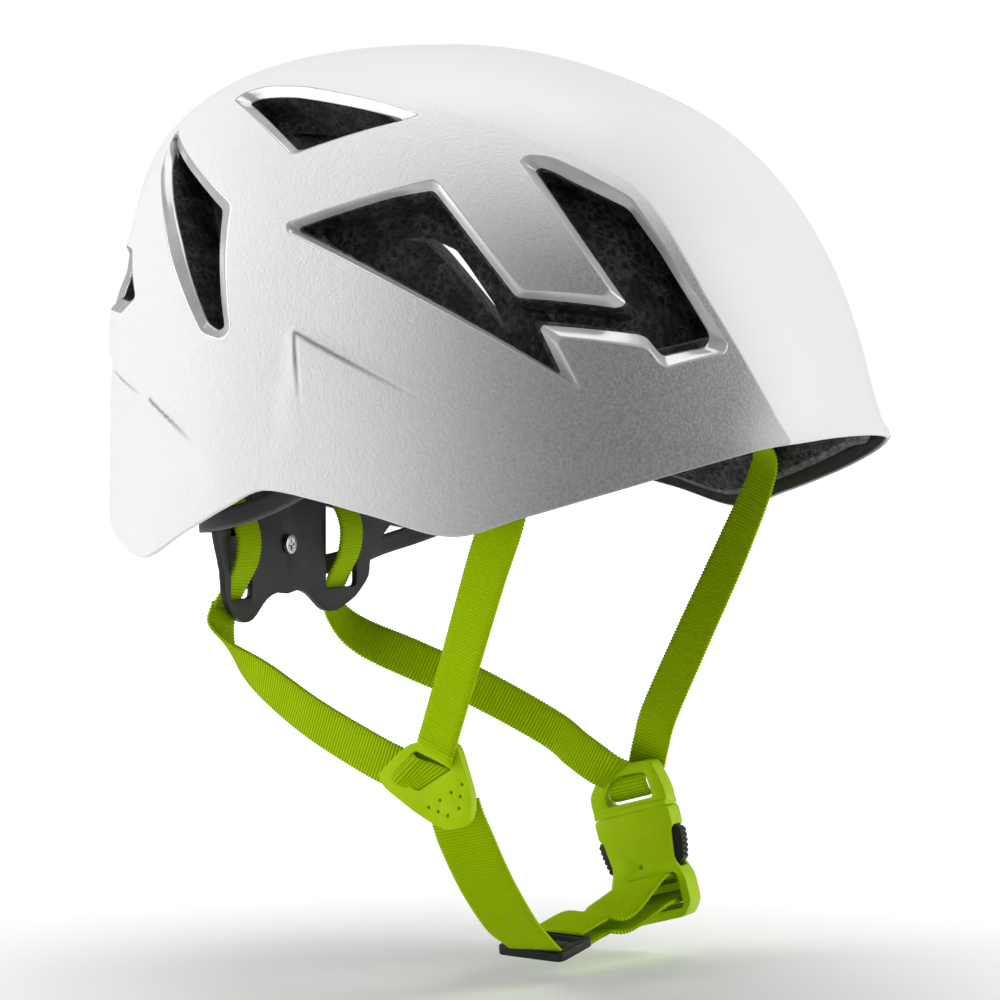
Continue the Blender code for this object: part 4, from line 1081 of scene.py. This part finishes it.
# The hard parts that keep their CAD shape: body, material, width of the rounded edges and its steps
HARD_PARTS = {
    "headband_front": ("helmet", "satin", 0.4, 3),
    "dial_housing": ("nape", "black", 0.5, 3),
    "click_spring": ("nape", "steel", 0.1, 2),
    "nape_cradle": ("nape", "black", 0.6, 3),
    "dial_pinion": ("dial", "black", 0.12, 2),
    "dial_knob": ("dial", "black", 0.9, 3),
    "dial_screw": ("dial", "steel", 0.12, 2),
    "strap_divider": ("divider", "lime", 1.2, 4),
    "chin_slider": ("slider", "black", 0.5, 3),
    "buckle_male": ("helmet", "lime", 0.6, 3),
    "buckle_female": ("female_half", "lime", 0.6, 3),
}
SLOTS = {"black": "plastic_black", "satin": "plastic_black", "lime": "plastic_green", "steel": "steel"}


def build_hard_parts(materials):
    parts = {}
    for _, word in SIDES:
        parts[f"front_anchor_{word}"] = ("helmet", "black", 0.6, 3)
        parts[f"rear_anchor_{word}"] = ("helmet", "black", 0.6, 3)
        parts[f"temple_pin_{word}"] = ("helmet", "steel", 0.35, 3)
        parts[f"rack_{word}"] = (f"{word}_rack", "black", 0.15, 2)
    parts.update(HARD_PARTS)
    for node, (body, material, width, segments) in parts.items():
        refined(node, body, SLOTS[material], materials[material], width, segments)


FOLD_WIDTH = 13.0  # about how wide the folded webbing shows


def fold(name, rows, place, thickness, materials):
    """Webbing lofted through rows, each given by its two ends; the ribs run along the rows."""
    lines = spline([first + second for first, second in rows], 24)
    lengths = run_lengths((lines[:, :3] + lines[:, 3:]) / 2)
    count = int(lengths[-1] / 0.25)
    run = lengths[-1] * np.arange(count + 1) / count
    lines = resampled(lines, lengths, run)
    swell = 0.26 * (np.abs(np.sin(np.pi * run / RIB_PITCH))[:, None] - 0.5)
    first = np.array([tuple(place(*p)) for p in lines[:, :3]])
    second = np.array([tuple(place(*p)) for p in lines[:, 3:]])
    along = np.gradient((first + second) / 2, axis=0)
    normal = np.cross(along, second - first)
    normal /= np.linalg.norm(normal, axis=1, keepdims=True)
    across = 9
    points = []
    shares = np.linspace(0, 1, across)
    for sign, order in ((1, shares), (-1, shares[::-1])):
        for share in order:
            edge = 0.5 if share in (0.0, 1.0) else 1.0
            side = sign * edge * (thickness / 2 + swell)
            points.append(first * (1 - share) + second * share + normal * side)
    faces = tube_faces(count + 1, len(points))
    obj = mesh_object(name, np.stack(points, 1).reshape(-1, 3), faces, materials["webbing"], sharp=70)
    lay_weave(obj, run, np.concatenate([shares, shares[::-1]]) * FOLD_WIDTH)
    return obj


def build_folds(materials):
    """The webbing that shows in the divider's slot and in the male buckle half's window."""
    def on_divider(across, up, level):
        return DIVIDER_CENTRE + Vector((-level, -across, up))

    rows = [
        ((-15.6, 1.2, -1.6), (-7.2, 10.6, -1.6)), ((-14.2, 0.9, 1.6), (-5.6, 9.6, 1.2)),
        ((-12.6, -0.4, 2.9), (-3.6, 8.6, 2.2)), ((-10.6, -1.6, 2.2), (-1.6, 7.7, 1.4)),
        ((-8.2, -2.6, 1.2), (2.6, 6.6, 0.6)), ((-5.4, -3.4, 0.4), (7.4, 5.0, -0.2)),
        ((-3.6, -4.4, -1.6), (9.6, 3.4, -1.8)),
    ]
    piece = fold("divider_fold", rows, on_divider, 1.1, materials)
    keep(piece, "divider", "webbing_green")

    behind = [
        ((-13.0, 4.0, -2.4), (-9.0, 12.6, -2.4)), ((-3.0, 3.5, -2.4), (-1.0, 12.4, -2.4)),
        ((7.4, 3.0, -2.4), (8.0, 11.6, -2.4)),
    ]
    piece = fold("divider_wrap", behind, on_divider, 1.0, materials)
    keep(piece, "divider", "webbing_green")

    def on_buckle(across, down, inward):
        return buckle_point(down, across, inward)

    rows = [
        ((-3.6, -15.4, -2.4), (9.6, -15.0, -2.4)), ((-4.4, -14.0, 1.2), (9.0, -13.6, 1.2)),
        ((-6.4, -11.6, 2.6), (8.8, -11.6, 2.6)), ((-7.8, -9.2, 2.2), (8.6, -9.2, 2.0)),
        ((-8.6, -7.2, 0.6), (8.2, -7.2, 0.4)), ((-8.8, -5.6, -2.2), (8.0, -5.6, -2.2)),
    ]
    piece = fold("buckle_fold", rows, on_buckle, 1.2, materials)
    keep(piece, "helmet", "webbing_green")


def build_prongs(materials):
    """The two release buttons, ribbed where the fingers press."""
    for sign, word in ((1, "front"), (-1, "rear")):
        outline = [(6.4, 0.4), (9.0, 0.4), (9.2, 7.9), (15.2, 8.0), (17.2, 9.0)]
        ribs = 6
        for k in range(ribs):
            down = 9.6 + k * 1.9
            out = 17.9 - 0.045 * (down - 9.6) ** 1.6
            outline += [(out - 0.45, down), (out, down + 0.45), (out, down + 1.25), (out - 0.45, down + 1.7)]
        outline += [(13.6, 22.6), (9.6, 22.8), (8.0, 19.0), (6.8, 12.0)]
        points = [(sign * a, b) for a, b in outline]
        prong = prism(
            f"prong_{word}_ribbed", points, BUCKLE_SEAM, BUCKLE_ACROSS, BUCKLE_DOWN, -2.3, 2.3,
            materials["black"],
        )
        soften(prong, 0.22, 2)
        keep(prong, f"{word}_prong", "plastic_black", f"buckle_prong_{word}")


def build_buckle_lip(materials):
    """The ridge on the male half that closes the seam between the two halves."""
    half, depth = 15.6, BUCKLE_THICKNESS / 2 + 0.3
    outline = rounded(rectangle(-half, half, -2.3, -0.04), 0.4)
    lip = prism(
        "buckle_lip", outline, BUCKLE_SEAM, BUCKLE_ACROSS, BUCKLE_DOWN, -depth, depth, materials["lime"],
    )
    soften(lip, 0.35)
    keep(lip, "helmet", "plastic_green")


def build_side_arms(materials):
    shape = [
        (34.3, 90.8, 10.0, -10.0), (44.0, 89.4, 10.3, -9.0), (54.0, 86.5, 10.8, -7.0),
        (64.0, 81.5, 11.4, -3.5), (73.0, 72.0, 12.6, 0.5), (81.0, 57.0, 15.0, 7.0),
        (87.0, 38.0, 20.0, 15.5), (91.5, 16.0, 29.5, 28.0), (TEMPLE[0], 2.0, 39.2, 39.2),
        (TEMPLE[0], -5.0, 41.0, 41.0),
    ]
    for side, word in SIDES:
        stations = []
        for x, y, high_right, high_left in shape:
            height = high_right if side == RIGHT else high_left
            stations.append(((side * x, y, DIAL_HEIGHT + height), (0, 0.05, 1)))
        arm = ribbon(f"side_band_{word}", stations, 7.6, 1.5, materials["satin"], step=1.5)
        first, last = stations[6][0], stations[0][0]
        bent(arm, "nape", f"{word}_rack", first, last, "plastic_black", f"side_arm_{word}")


PAD_VOXEL = 3.0
PUFF_FRAMES = 12
PUFF_PRESSURE = 4.0
PUFF_LIMIT = 1.2  # farthest that the surface of a pad moves


def build_pads(materials):
    """The foam pads, puffed up by a short cloth simulation."""
    for node in ("crown_pad_right", "crown_pad_left", "rear_pad", "forehead_pad"):
        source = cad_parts[node]
        pad = bpy.data.objects.new(f"{node}_soft", source.data.copy())
        bpy.context.scene.collection.objects.link(pad)
        remesh = pad.modifiers.new("remesh", "REMESH")
        remesh.mode = "VOXEL"
        remesh.voxel_size = PAD_VOXEL * MM
        settle(pad)
        before = np.array([v.co for v in pad.data.vertices])
        cloth = pad.modifiers.new("cloth", "CLOTH")
        cloth.settings.use_pressure = True
        cloth.settings.uniform_pressure_force = PUFF_PRESSURE
        cloth.settings.effector_weights.gravity = 0.0
        cloth.point_cache.frame_end = PUFF_FRAMES
        for number in range(1, PUFF_FRAMES + 1):
            bpy.context.scene.frame_set(number)
        settle(pad)
        after = np.array([v.co for v in pad.data.vertices])
        move = after - before
        length = np.linalg.norm(move, axis=1, keepdims=True) + 1e-12
        after = before + move * np.minimum(1.0, PUFF_LIMIT * MM / length)
        pad.data.vertices.foreach_set("co", after.reshape(-1).astype(np.float32))
        bpy.context.scene.frame_set(1)
        even = pad.modifiers.new("even", "SMOOTH")
        even.iterations = 4
        fine = pad.modifiers.new("fine", "SUBSURF")
        fine.levels = 1
        fine.render_levels = 1
        settle(pad)
        pad.data.materials.clear()
        pad.data.materials.append(materials["pad"])
        pad.data.shade_smooth()
        keep(pad, "helmet", "pad_grey", node)


def main():
    materials = {
        "shell": shell_finish(),
        "frame": frame_finish(),
        "foam": foam_finish(),
        "webbing": webbing_finish(),
        "pad": pad_finish(),
        "steel": steel_finish(),
        "lime": plastic_finish("green_plastic", LIME, 0.38, Specular_Tint=GREEN_SHINE),
        "black": plastic_finish("black_plastic", PLASTIC_BLACK, 0.42, Specular_IOR_Level=0.3),
        "satin": plastic_finish("grey_plastic", SATIN_GREY, 0.48),
    }
    build_studio()
    build_shell(materials)
    build_liner(materials)
    build_straps(materials)
    build_hard_parts(materials)
    build_prongs(materials)
    build_folds(materials)
    build_buckle_lip(materials)
    build_side_arms(materials)
    build_pads(materials)


main()
bpy.context.view_layer.update()
